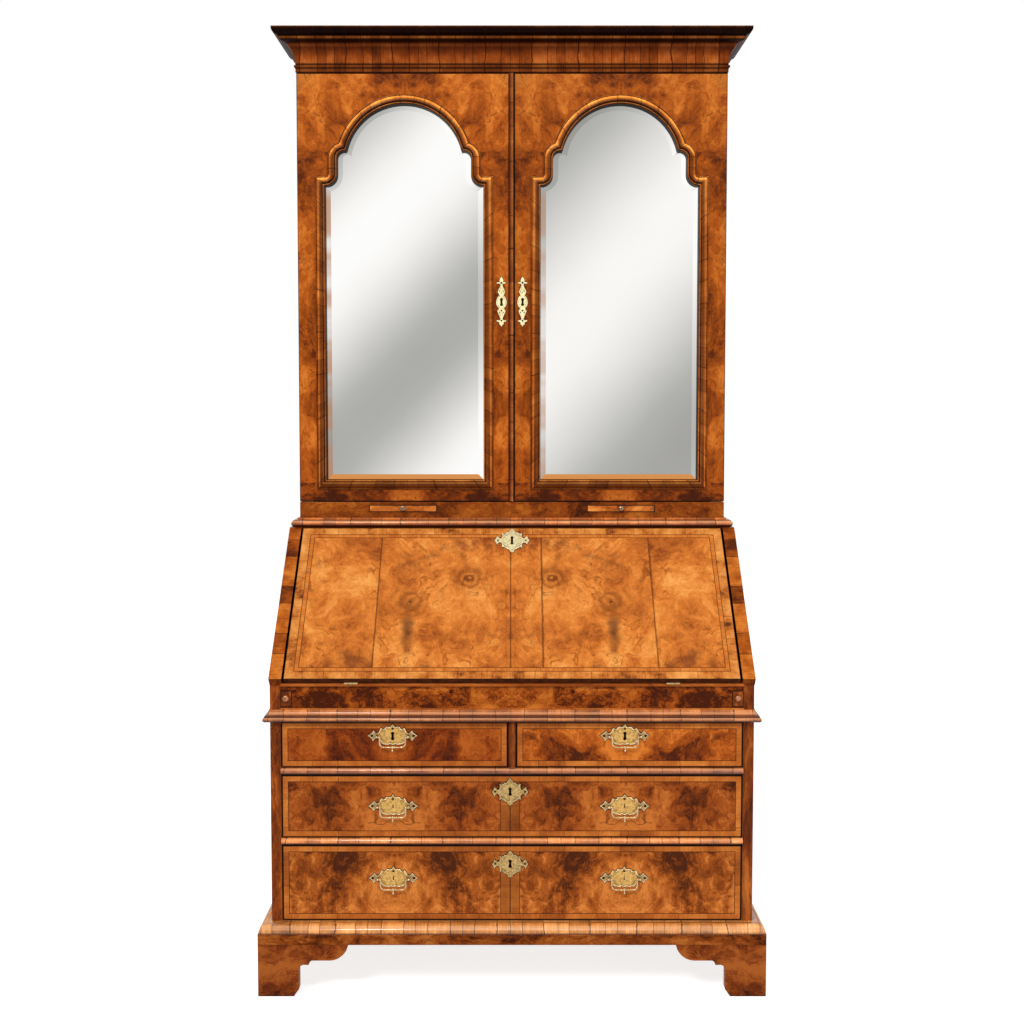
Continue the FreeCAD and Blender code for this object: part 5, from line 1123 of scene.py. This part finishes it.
def barrel(shape, low, long):
    shape.turning((low, FALL_PIVOT.y, FALL_PIVOT.z), (1, 0, 0), BARREL + [
        (long - along, radius) for along, radius in reversed(BARREL)], 24)


def sloping_plate(shape, left, right, low, high, bottom, top=LEAF):
    """A plate on the fall's inner face, by places across, up the slope and off it."""
    return shape.loft([[FALL_PIVOT + ACROSS * end + UP_SLOPE * up + OFF_SLOPE * out
                        for up, out in ((low, bottom), (high, bottom), (high, top), (low, top))]
                       for end in (left, right)])


still, moving = Shape(), Shape()
for sign in (-1, 1):
    left = HINGE_X * sign - HINGE_LONG / 2
    for low in (left, left + THIRD * 2 + GAP / 2):
        barrel(still, low, THIRD - GAP / 2)
    still.board((left, FALL_PIVOT.y, FALL_PIVOT.z - LEAF),
                (left + HINGE_LONG, FALL_PIVOT.y + 26 * MM, FALL_PIVOT.z - LEAF_GAP), 0.3 * MM)
    barrel(moving, left + THIRD + GAP / 2, THIRD - GAP)
    sloping_plate(moving, left, left + HINGE_LONG, 4.5 * MM, 26 * MM, LEAF_GAP)
    sloping_plate(moving, left + HINGE_LONG * 0.36, left + HINGE_LONG * 0.64, 0, 5 * MM, LEAF_GAP)
hinges = still.done("fall_hinge_still", "case", handle_brass, "brass")
moving.done("fall_hinge_moving", "fall", handle_brass, "brass")
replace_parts(hinges, "case_hinges")

pivots = Shape()
for side, sign in (("left", -1), ("right", 1)):
    pivot = Vector(joints[f"door_{side}_pivot"]["pos_m"])
    door_low, door_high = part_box(f"door_frame_{side}")
    outer = door_low.x if sign == -1 else door_high.x
    for level, up in ((door_low.z - 2 * MM, 1), (door_high.z + 2 * MM, -1)):
        ends = sorted((outer, outer - 30 * MM * sign))
        heights = sorted((level, level + MM * up))
        pivots.board((ends[0], door_high.y - 14 * MM, heights[0]),
                     (ends[1], door_high.y, heights[1]), 0.2 * MM)
        pivots.turning((pivot.x, pivot.y, level), (0, 0, up),
                       [(0, 2 * MM), (7 * MM, 2 * MM), (7.7 * MM, 1.5 * MM)], 24)
pivots.done("door_pivots", "case", bail_brass, "brass")
sloping_plate(Shape(), -LOCK[0] / 2, LOCK[0] / 2, FALL_LOCK_UP - LOCK[2] / 2,
              FALL_LOCK_UP + LOCK[2] / 2, 0).done("fall_lock", "fall", iron, "brass")
print("made 2 hinges, 4 pivots and the fall's lock")

# %% [markdown]
# ## The arched sash
# The moulding round each mirror follows an arch that breaks into a lobe and a hollow on each
# side before it meets the square shoulders. Cabinet makers cut it from cross-grained blocks.
# A path with a profile object could be used, but its corners pinch. Here the whole outline is
# worked out at each distance from the glass, so every member of the moulding stays true, and
# the mitres at the cusps come by themselves.

# %% The arched outline
SIGHT_CENTRE, SIGHT_HALF, SIGHT_FOOT = 244.2 * MM, 180 * MM, 1069.5 * MM
ARCH = {"spring": 715.5 * MM, "radius": 134 * MM, "lobe": 17 * MM, "rise": 12 * MM,
        "hollow": 26 * MM, "drop": 23 * MM, "flat": 2 * MM}
HOLLOW_STEPS, LOBE_STEPS, ARCH_STEPS = 8, 12, 40


def swing(x, z, radius, start, finish, steps):
    """Points along an arc, after its start and up to its end."""
    return [(x + radius * math.cos(start + (finish - start) * step / steps),
             z + radius * math.sin(start + (finish - start) * step / steps))
            for step in range(1, steps + 1)]


def arch_points(centre, out, lobe=None):
    """The sight line of a mirror moved out by a distance."""
    side, spring = SIGHT_HALF + out, SIGHT_FOOT + ARCH["spring"]
    hollow_x, hollow_z = SIGHT_HALF - ARCH["flat"], spring - ARCH["drop"]
    hollow = ARCH["hollow"] - out
    lobe = lobe or ARCH["lobe"] + out
    lobe_x, rise, arch = hollow_x - hollow - lobe, ARCH["rise"], ARCH["radius"] + out
    apart = math.hypot(lobe_x, rise)
    along = (apart ** 2 + arch ** 2 - lobe ** 2) / (2 * apart)
    cusp = math.atan2(rise, lobe_x) + math.acos(along / arch)
    cusp_x, cusp_z = arch * math.cos(cusp), spring + arch * math.sin(cusp)
    lobe_end = math.atan2(cusp_z - spring - rise, cusp_x - lobe_x)
    inset = min(side - hollow_x, 0.0)
    start = math.atan2(-math.sqrt(hollow ** 2 - inset ** 2), inset)
    shoulder = hollow_z + hollow * math.sin(start)
    right = [(side, shoulder), (hollow_x + inset, shoulder)]
    right += swing(hollow_x, hollow_z, hollow, start, -math.pi, HOLLOW_STEPS)
    right.append((hollow_x - hollow, spring + rise))
    right += swing(lobe_x, spring + rise, lobe, 0, lobe_end, LOBE_STEPS)
    top = swing(0, spring, arch, cusp, math.pi - cusp, ARCH_STEPS)[:-1]
    left = [(-x, z) for x, z in reversed(right)]
    return [(centre + x, z) for x, z in [(-side, SIGHT_FOOT - out), (side, SIGHT_FOOT - out)]
            + right + top + left]


print("arched outline of", len(arch_points(0, 0)), "points")

# %% [markdown]
# The sash's section, from the glass outwards, is a small inner bead, a hollow, a round bead
# of cross-grained walnut and a thin fillet. Each station carries a painted factor: the hollow
# is painted dark as shade and the bead bright as a highlight, and faces that look down get
# painted shade and faces that look up a painted highlight. Its cross-grain needs the length
# along the moulding, and neither x nor z gives that round the arch, so the loft writes it into
# the mesh as a map, and the finish reads it from there. A half-round bead of the same short
# blocks stands on the left door's edge, where the doors meet, painted dark at its left foot
# and with a painted highlight towards its right.

# %% Sash mouldings and the meeting bead
SASH_WIDE, SASH_OUT, SASH_LAP, GLASS_FRONT = 22 * MM, 8.4 * MM, 4 * MM, DOOR_FACE + 8 * MM
# Each station: share of the width, share of the outward step, and a painted light or shade factor.
SASH_SECTION = [(0, 0.3, 0.1), (0.02, 0.48, 0.5), (0.06, 0.6, 1.0), (0.11, 0.63, 0.9),
                (0.16, 0.57, 0.5), (0.19, 0.5, 0.04), (0.22, 0.52, 0.04), (0.24, 0.7, 0.3),
                (0.27, 0.88, 0.6), (0.31, 0.97, 0.55), (0.36, 1.0, 0.4), (0.44, 0.97, 0.42),
                (0.53, 0.9, 0.6), (0.62, 0.79, 1.0), (0.7, 0.66, 1.5), (0.77, 0.5, 1.6),
                (0.82, 0.36, 1.2), (0.845, 0.2, 0.1), (0.87, 0.16, 0.04), (0.89, 0.26, 0.5),
                (0.95, 0.26, 0.8), (0.98, 0.22, 0.1), (1, 0, 0.02)]
kit = Finish("crossgrain_sash", **POLISH)
u, v, _ = kit.parts(kit.flat)
colour, joint = crossband(kit, u, kit.times(v, 0.001), [
    (0.0, (0.14, 0.03, 0.004)), (0.5, (0.42, 0.1, 0.011)), (1.0, (0.72, 0.22, 0.035))], 0.033,
    1.2 * MM)
# Painted light and shade, station by station across the section.
shade = kit.ramp(kit.reckon("DIVIDE", v, len(SASH_SECTION) + 1), [
    ((row + 1) / (len(SASH_SECTION) + 1), (painted_tint, painted_tint, painted_tint))
    for row, (_, _, painted_tint) in enumerate(SASH_SECTION)])
nx, ny, nz = kit.parts(kit.normal)
# Painted shade on faces that look down and a painted highlight on faces that look up.
painted_light_by_slope = kit.ramp(kit.times_plus(nz, 0.5, 0.5), [
    (0.0, (0.2, 0.17, 0.15)), (0.38, (0.3, 0.27, 0.25)), (0.47, (1, 1, 1)), (0.53, (1, 1, 1)),
    (0.68, (2.0, 2.6, 3.2)), (1.0, (2.4, 3.2, 4.0))])
colour = kit.lay(1.0, colour, shade, "MULTIPLY")
sash_finish = kit.finish(kit.lay(1.0, colour, painted_light_by_slope, "MULTIPLY"), joint, 0.3)
for side, sign in (("left", -1), ("right", 1)):
    centre = SIGHT_CENTRE * sign
    stations = [(0.0, GLASS_FRONT - 0.5 * MM)]
    stations += [(SASH_WIDE * wide, DOOR_FACE - SASH_OUT * out) for wide, out, _ in SASH_SECTION]
    stations += [(SASH_LAP, DOOR_FACE), (SASH_LAP, GLASS_FRONT - 0.5 * MM)]
    sight = arch_points(centre, 11 * MM)
    lengths = [0.0]
    for index, point in enumerate(sight):
        after = sight[(index + 1) % len(sight)]
        lengths.append(lengths[-1] + math.dist(point, after))
    rings = [[Vector((px, y, pz)) for px, pz in arch_points(centre, wide)] for wide, y in stations]
    sash = Shape().loft(rings, closed=True, lengths=lengths)
    sash = sash.done(f"sash_{side}", f"door_{side}", sash_finish, "cross_walnut", 40)
    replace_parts(sash, f"door_sash_{side}")

bead_low, bead_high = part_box("door_frame_left")
BEAD_WIDE, BEAD_OUT = 11.8 * MM, 5.5 * MM
meeting = bead_high.x
kit = Finish("crossgrain_bead", **POLISH)
x, y, z = kit.parts(kit.place)
colour, joint = crossband(kit, z, x, RED_TONES, 0.04, 1.2 * MM)
# Painted light and shade across the meeting bead: dark at its left foot and right edge, and a
# painted highlight towards its right side.
shade = kit.ramp(kit.rise(x, meeting - BEAD_WIDE, meeting, False), [
    (0.0, (0.2, 0.15, 0.1)), (0.3, (0.45, 0.4, 0.35)), (0.55, (1.1, 1.1, 1.2)),
    (0.78, (1.6, 2.4, 4.0)), (0.9, (1.5, 2.2, 3.4)), (1.0, (0.2, 0.2, 0.2))])
bead_finish = kit.finish(kit.lay(1.0, colour, shade, "MULTIPLY"), joint, 0.25)
section = [(meeting - BEAD_WIDE, 0.0)]
for step in range(13):
    turn = math.pi * step / 12
    section.append((meeting - BEAD_WIDE / 2 - BEAD_WIDE / 2 * math.cos(turn),
                    BEAD_OUT * (0.12 + 0.88 * math.sin(turn))))
section.append((meeting, 0.0))
rings = [[Vector((px, DOOR_FACE - out, level)) for px, out in section]
         for level in (bead_low.z, bead_high.z)]
Shape().loft(rings).done("meeting_bead", "door_left", bead_finish, "cross_walnut", 40)
print("made 2 sashes of", len(SASH_SECTION), "stations and the meeting bead")

# %% [markdown]
# ## The mirrors
# Each mirror is a plate of glass ground to a wide bevel that follows the arch and is mitred at
# the cusps. The bevel is real slope in the mesh, because it is the change of angle that makes
# it flash; its finish also paints it lighter, darker or brown by which way it faces, as a
# painted reflection.

# %% Bevelled mirrors
BEVEL, BEVEL_LOBE, BEVEL_DEEP, GLASS_THICK = 13 * MM, 10.5 * MM, 1.2 * MM, 4 * MM
for side, sign in (("left", -1), ("right", 1)):
    centre = SIGHT_CENTRE * sign
    rim, inner = arch_points(centre, 9.5 * MM), arch_points(centre, -BEVEL, BEVEL_LOBE)
    rings = [[Vector((px, y, pz)) for px, pz in points] for points, y in (
        (inner, GLASS_FRONT), (rim, GLASS_FRONT + BEVEL_DEEP),
        (rim, GLASS_FRONT + GLASS_THICK))]
    glass = Shape().loft(rings).done(f"mirror_{side}", f"door_{side}", silver[side], "mirror", 1)
    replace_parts(glass, f"door_mirror_{side}")
print("made 2 mirrors")

# %% [markdown]
# ## Lopers, candle slides and small drawers
# Two lopers draw out to carry the open fall, two slides under the doors held candlesticks, and
# two small drawers sit among the pigeonholes. The frame's own solids are right in size, so
# these pieces take their sizes from them. Each adds eased edges and a turned knob, the lopers
# and slides also painted shade for the gap round the front, and the small drawers their
# separate boards.

# %% Sliding pieces and their knobs
KNOB = [(0, 0.52), (0.06, 0.5), (0.2, 0.44), (0.32, 0.5), (0.4, 0.72), (0.5, 0.93), (0.62, 1.0),
        (0.76, 0.95), (0.87, 0.74), (0.95, 0.44), (1.0, 0.08)]


def knob(name, body, spot, radius, out, material):
    """A turned knob on a face, standing out to the front."""
    profile = [(along * out, wide * radius) for along, wide in KNOB]
    Shape().turning(spot, OUTWARD, profile, 32).done(name, body, material, "brass")


def worn_metal(name, grain, tones, **levels):
    """A plain metal, lighter where hands have rubbed it."""
    kit = Finish(name, **levels)
    wear_and_highlight = kit.noise(kit.place, grain, 3.0)
    return kit.finish(kit.ramp(wear_and_highlight, tones), wear_and_highlight, 0.1)


def sliding_board(name, body, node, face, ease, gap, *figure):
    """A board in a sliding fit, with painted shade for the gap round its front end."""
    low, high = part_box(node)
    kit = Finish(f"veneer_{node}", **POLISH)
    x, y, z = kit.parts(kit.place)
    depth, _ = to_edge(kit, x, z, (low.x, high.x, low.z, high.z))
    colour, pores = veneer(kit, kit.place, *figure)
    # Painted shade: the front face is painted near black within the gap width of its edge, for the
    # gap round it.
    edge = kit.times(kit.rise(depth, gap, gap - 1 * MM), faces(kit, OUTWARD))
    finish = kit.finish(kit.lay(edge, colour, GAP_TONE), pores, 0.1)
    board = Shape().board((low.x, face, low.z), high, ease)
    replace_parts(board.done(name, body, finish, "walnut"), node)
    return (low + high) / 2, low.z


BRONZE_TONES = [(0.35, (0.07, 0.03, 0.015)), (0.65, (0.34, 0.21, 0.12))]
COPPER_TONES = [(0.35, (0.16, 0.05, 0.02)), (0.65, (0.5, 0.2, 0.09))]
bronze = worn_metal("dark_bronze", 260.0, BRONZE_TONES, Metallic=1.0, Roughness=0.32)
copper = worn_metal("copper_knobs", 220.0, COPPER_TONES, Metallic=0.6, Roughness=0.35)
LOPER_KNOB_UP = 19 * MM
THIN, FRONT_THICK = 6 * MM, 12 * MM
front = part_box("pigeonholes")[0].y
for side in ("left", "right"):
    body = f"loper_slide_{side}"
    middle, foot = sliding_board(f"loper_bar_{side}", body, f"loper_{side}", CASE_FACE, 0.6 * MM,
                                 2.2 * MM, DARK_TONES, 50.0, 0.03, (1, 1, 0.3), 0.7)
    knob(f"loper_knob_{side}", body, (middle.x, CASE_FACE, foot + LOPER_KNOB_UP), 6.6 * MM,
         11 * MM, copper)

    body = f"candle_shelf_{side}"
    middle, foot = sliding_board(f"candle_board_{side}", body, f"candle_slide_{side}", DOOR_FACE,
                                 0.4 * MM, 2.6 * MM, FALL_TONES, 30.0, 0.05, (0.5, 1, 1))
    knob(f"candle_knob_{side}", body, (middle.x, DOOR_FACE, middle.z), 6.8 * MM, 10 * MM, bronze)

    low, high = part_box(f"nest_drawer_{side}")
    body = f"small_drawer_{side}"
    box = Shape().board((low.x, front, low.z), (high.x, front + FRONT_THICK, high.z), 0.6 * MM)
    box.board((low.x + THIN, front + FRONT_THICK, low.z),
              (high.x - THIN, high.y - THIN, low.z + THIN))
    for left in (low.x, high.x - THIN):
        box.board((left, front + FRONT_THICK, low.z), (left + THIN, high.y, high.z))
    box.board((low.x + THIN, high.y - THIN, low.z), (high.x - THIN, high.y, high.z))
    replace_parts(box.done(f"small_drawer_box_{side}", body, plain_walnut, "walnut"),
                f"nest_drawer_{side}")
    knob(f"small_drawer_knob_{side}", body, ((low.x + high.x) / 2, front, (low.z + high.z) / 2),
         5 * MM, 14 * MM, bail_brass)
print("made 2 lopers, 2 candle slides and 2 small drawers")

# %% [markdown]
# ## Backs
# Nobody sees the back of such a piece against the wall, so it is of rough oak boards, butted
# side by side. Each is sawn separately, with its edges just eased, and shrinkage has opened a
# small gap between them. One sheet with lines on it would hide that.

# %% Board the backs
PLANKS = 5
for node in ("case_back", "bookcase_back"):
    low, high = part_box(node)
    wide = (high.x - low.x) / PLANKS
    planks = Shape()
    for plank in range(PLANKS):
        left = low.x + wide * plank
        planks.board((left + (0.6 * MM if plank else 0), low.y, low.z),
                     (left + wide - (0.6 * MM if plank < PLANKS - 1 else 0), high.y, high.z),
                     1.2 * MM)
    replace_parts(planks.done(f"{node}_planks", "case", oak_upright, "oak"), node)
print("boarded 2 backs with", PLANKS, "planks each")

# %% [markdown]
# ## Eased edges on the frame's boards
# No edge of hand-planed wood is sharp, and a sharp edge catches no light. A bevel modifier
# eases the frame's own boards without touching their meshes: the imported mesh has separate
# corners for each face, so they are welded first.

# %% Ease the edges
EASED = [name for name, node in nodes.items()
         if not node.hide_render and not name.startswith(("foot", "feet", "cornice"))]
for name in EASED:
    weld = nodes[name].modifiers.new("weld", "WELD")
    weld.merge_threshold = 0.01 * MM
    bevel = nodes[name].modifiers.new("eased", "BEVEL")
    bevel.width = 0.5 * MM
    bevel.segments = 2
    bevel.limit_method = "ANGLE"
    bevel.angle_limit = math.radians(40)
    bevel.use_clamp_overlap = True
print("eased", len(EASED), "nodes")

# %% [markdown]
# ## Floor, backdrop and light
# The picture is a cut-out on white: no horizon and a faint shadow at most. Lighting the
# floor until it clips would burn the wood too, so the world and the floor answer white to the
# camera, to mirrors and to glass alone, and light the wood at a plain level. The floor stays
# in the picture as a soft shadow under the feet.

# %% The stage
world = bpy.data.worlds.new("studio")
bpy.context.scene.world = world
world.use_nodes = True
tree = world.node_tree
tree.nodes.clear()
AMBIENT = 0.32


def seen_directly(tree):
    """1 for rays from the camera, from a mirror or through glass."""
    path = tree.nodes.new("ShaderNodeLightPath")
    most = path.outputs["Is Camera Ray"]
    for ray in ("Is Glossy Ray", "Is Transmission Ray"):
        either = tree.nodes.new("ShaderNodeMath")
        either.operation = "MAXIMUM"
        tree.links.new(most, either.inputs[0])
        tree.links.new(path.outputs[ray], either.inputs[1])
        most = either.outputs[0]
    return most


level = tree.nodes.new("ShaderNodeMapRange")
level.inputs["To Min"].default_value = AMBIENT
level.inputs["To Max"].default_value = 1.0
tree.links.new(seen_directly(tree), level.inputs["Value"])
sky = tree.nodes.new("ShaderNodeBackground")
sky.inputs["Color"].default_value = (1, 1, 1, 1)
tree.links.new(level.outputs[0], sky.inputs["Strength"])
out = tree.nodes.new("ShaderNodeOutputWorld")
tree.links.new(sky.outputs[0], out.inputs[0])

floor_mesh = bmesh.new()
FLOOR_HALF, FLOOR_Z, PAPER_GLOW = 6.0, -0.2 * MM, 0.78
corners = [floor_mesh.verts.new((x * FLOOR_HALF, y * FLOOR_HALF, FLOOR_Z))
           for x, y in ((-1, -1), (1, -1), (1, 1), (-1, 1))]
floor_mesh.faces.new(corners)
mesh = bpy.data.meshes.new("floor")
floor_mesh.to_mesh(mesh)
floor_mesh.free()
floor = bpy.data.objects.new("floor", mesh)
bpy.context.scene.collection.objects.link(floor)
paper = bpy.data.materials.new("white_paper")
paper.use_nodes = True
tree = paper.node_tree
shade = tree.nodes["Principled BSDF"]
shade.inputs["Base Color"].default_value = (0.8, 0.8, 0.8, 1)
shade.inputs["Roughness"].default_value = 0.9
shade.inputs["Specular IOR Level"].default_value = 0.0
shade.inputs["Emission Color"].default_value = (1, 1, 1, 1)
glow = tree.nodes.new("ShaderNodeMath")
glow.operation = "MULTIPLY"
glow.inputs[1].default_value = PAPER_GLOW
tree.links.new(seen_directly(tree), glow.inputs[0])
tree.links.new(glow.outputs[0], shade.inputs["Emission Strength"])
mesh.materials.append(paper)


def lamp(name, place, aim, wide, high, power):
    light = bpy.data.lights.new(name, "AREA")
    light.shape = "RECTANGLE"
    light.size, light.size_y, light.energy = wide, high, power
    holder = bpy.data.objects.new(name, light)
    holder.location = place
    holder.rotation_euler = (Vector(aim) - Vector(place)).to_track_quat("-Z", "Y").to_euler()
    bpy.context.scene.collection.objects.link(holder)
    return holder


sun = bpy.data.lights.new("key", "SUN")
sun.energy, sun.angle = 0.95, math.radians(12)
key = bpy.data.objects.new("key", sun)
key.rotation_euler = Vector((0.5, 1.1, -1.05)).to_track_quat("-Z", "Y").to_euler()
bpy.context.scene.collection.objects.link(key)
lamp("strip", (0, -3.0, 3.5), (0, 0, 1.1), 5.0, 0.25, 56)
lamp("fill", (2.8, -3.4, 1.0), (0, 0, 0.9), 2.0, 2.0, 22)
print("ambient", AMBIENT, "with a key and a soft fill")

# %% [markdown]
# ## The camera
# The photograph was taken from straight in front, at about head height of a seated person,
# with hardly any tilt: the mouldings above that level show their undersides and those below
# show their tops. The distance follows from how much the fall narrows towards its top.

# %% The camera
EYE = Vector((0.0, -3.18832, 1.2593))
camera = bpy.data.cameras.new("camera")
camera.lens, camera.sensor_width = 50, 36
camera.shift_y = -0.0273
viewer = bpy.data.objects.new("camera", camera)
viewer.location = EYE
viewer.rotation_euler = (math.radians(86.5), 0, 0)
bpy.context.scene.collection.objects.link(viewer)
bpy.context.scene.camera = viewer
bpy.context.scene.view_settings.view_transform = "Standard"
print("camera at", [round(part, 3) for part in EYE])
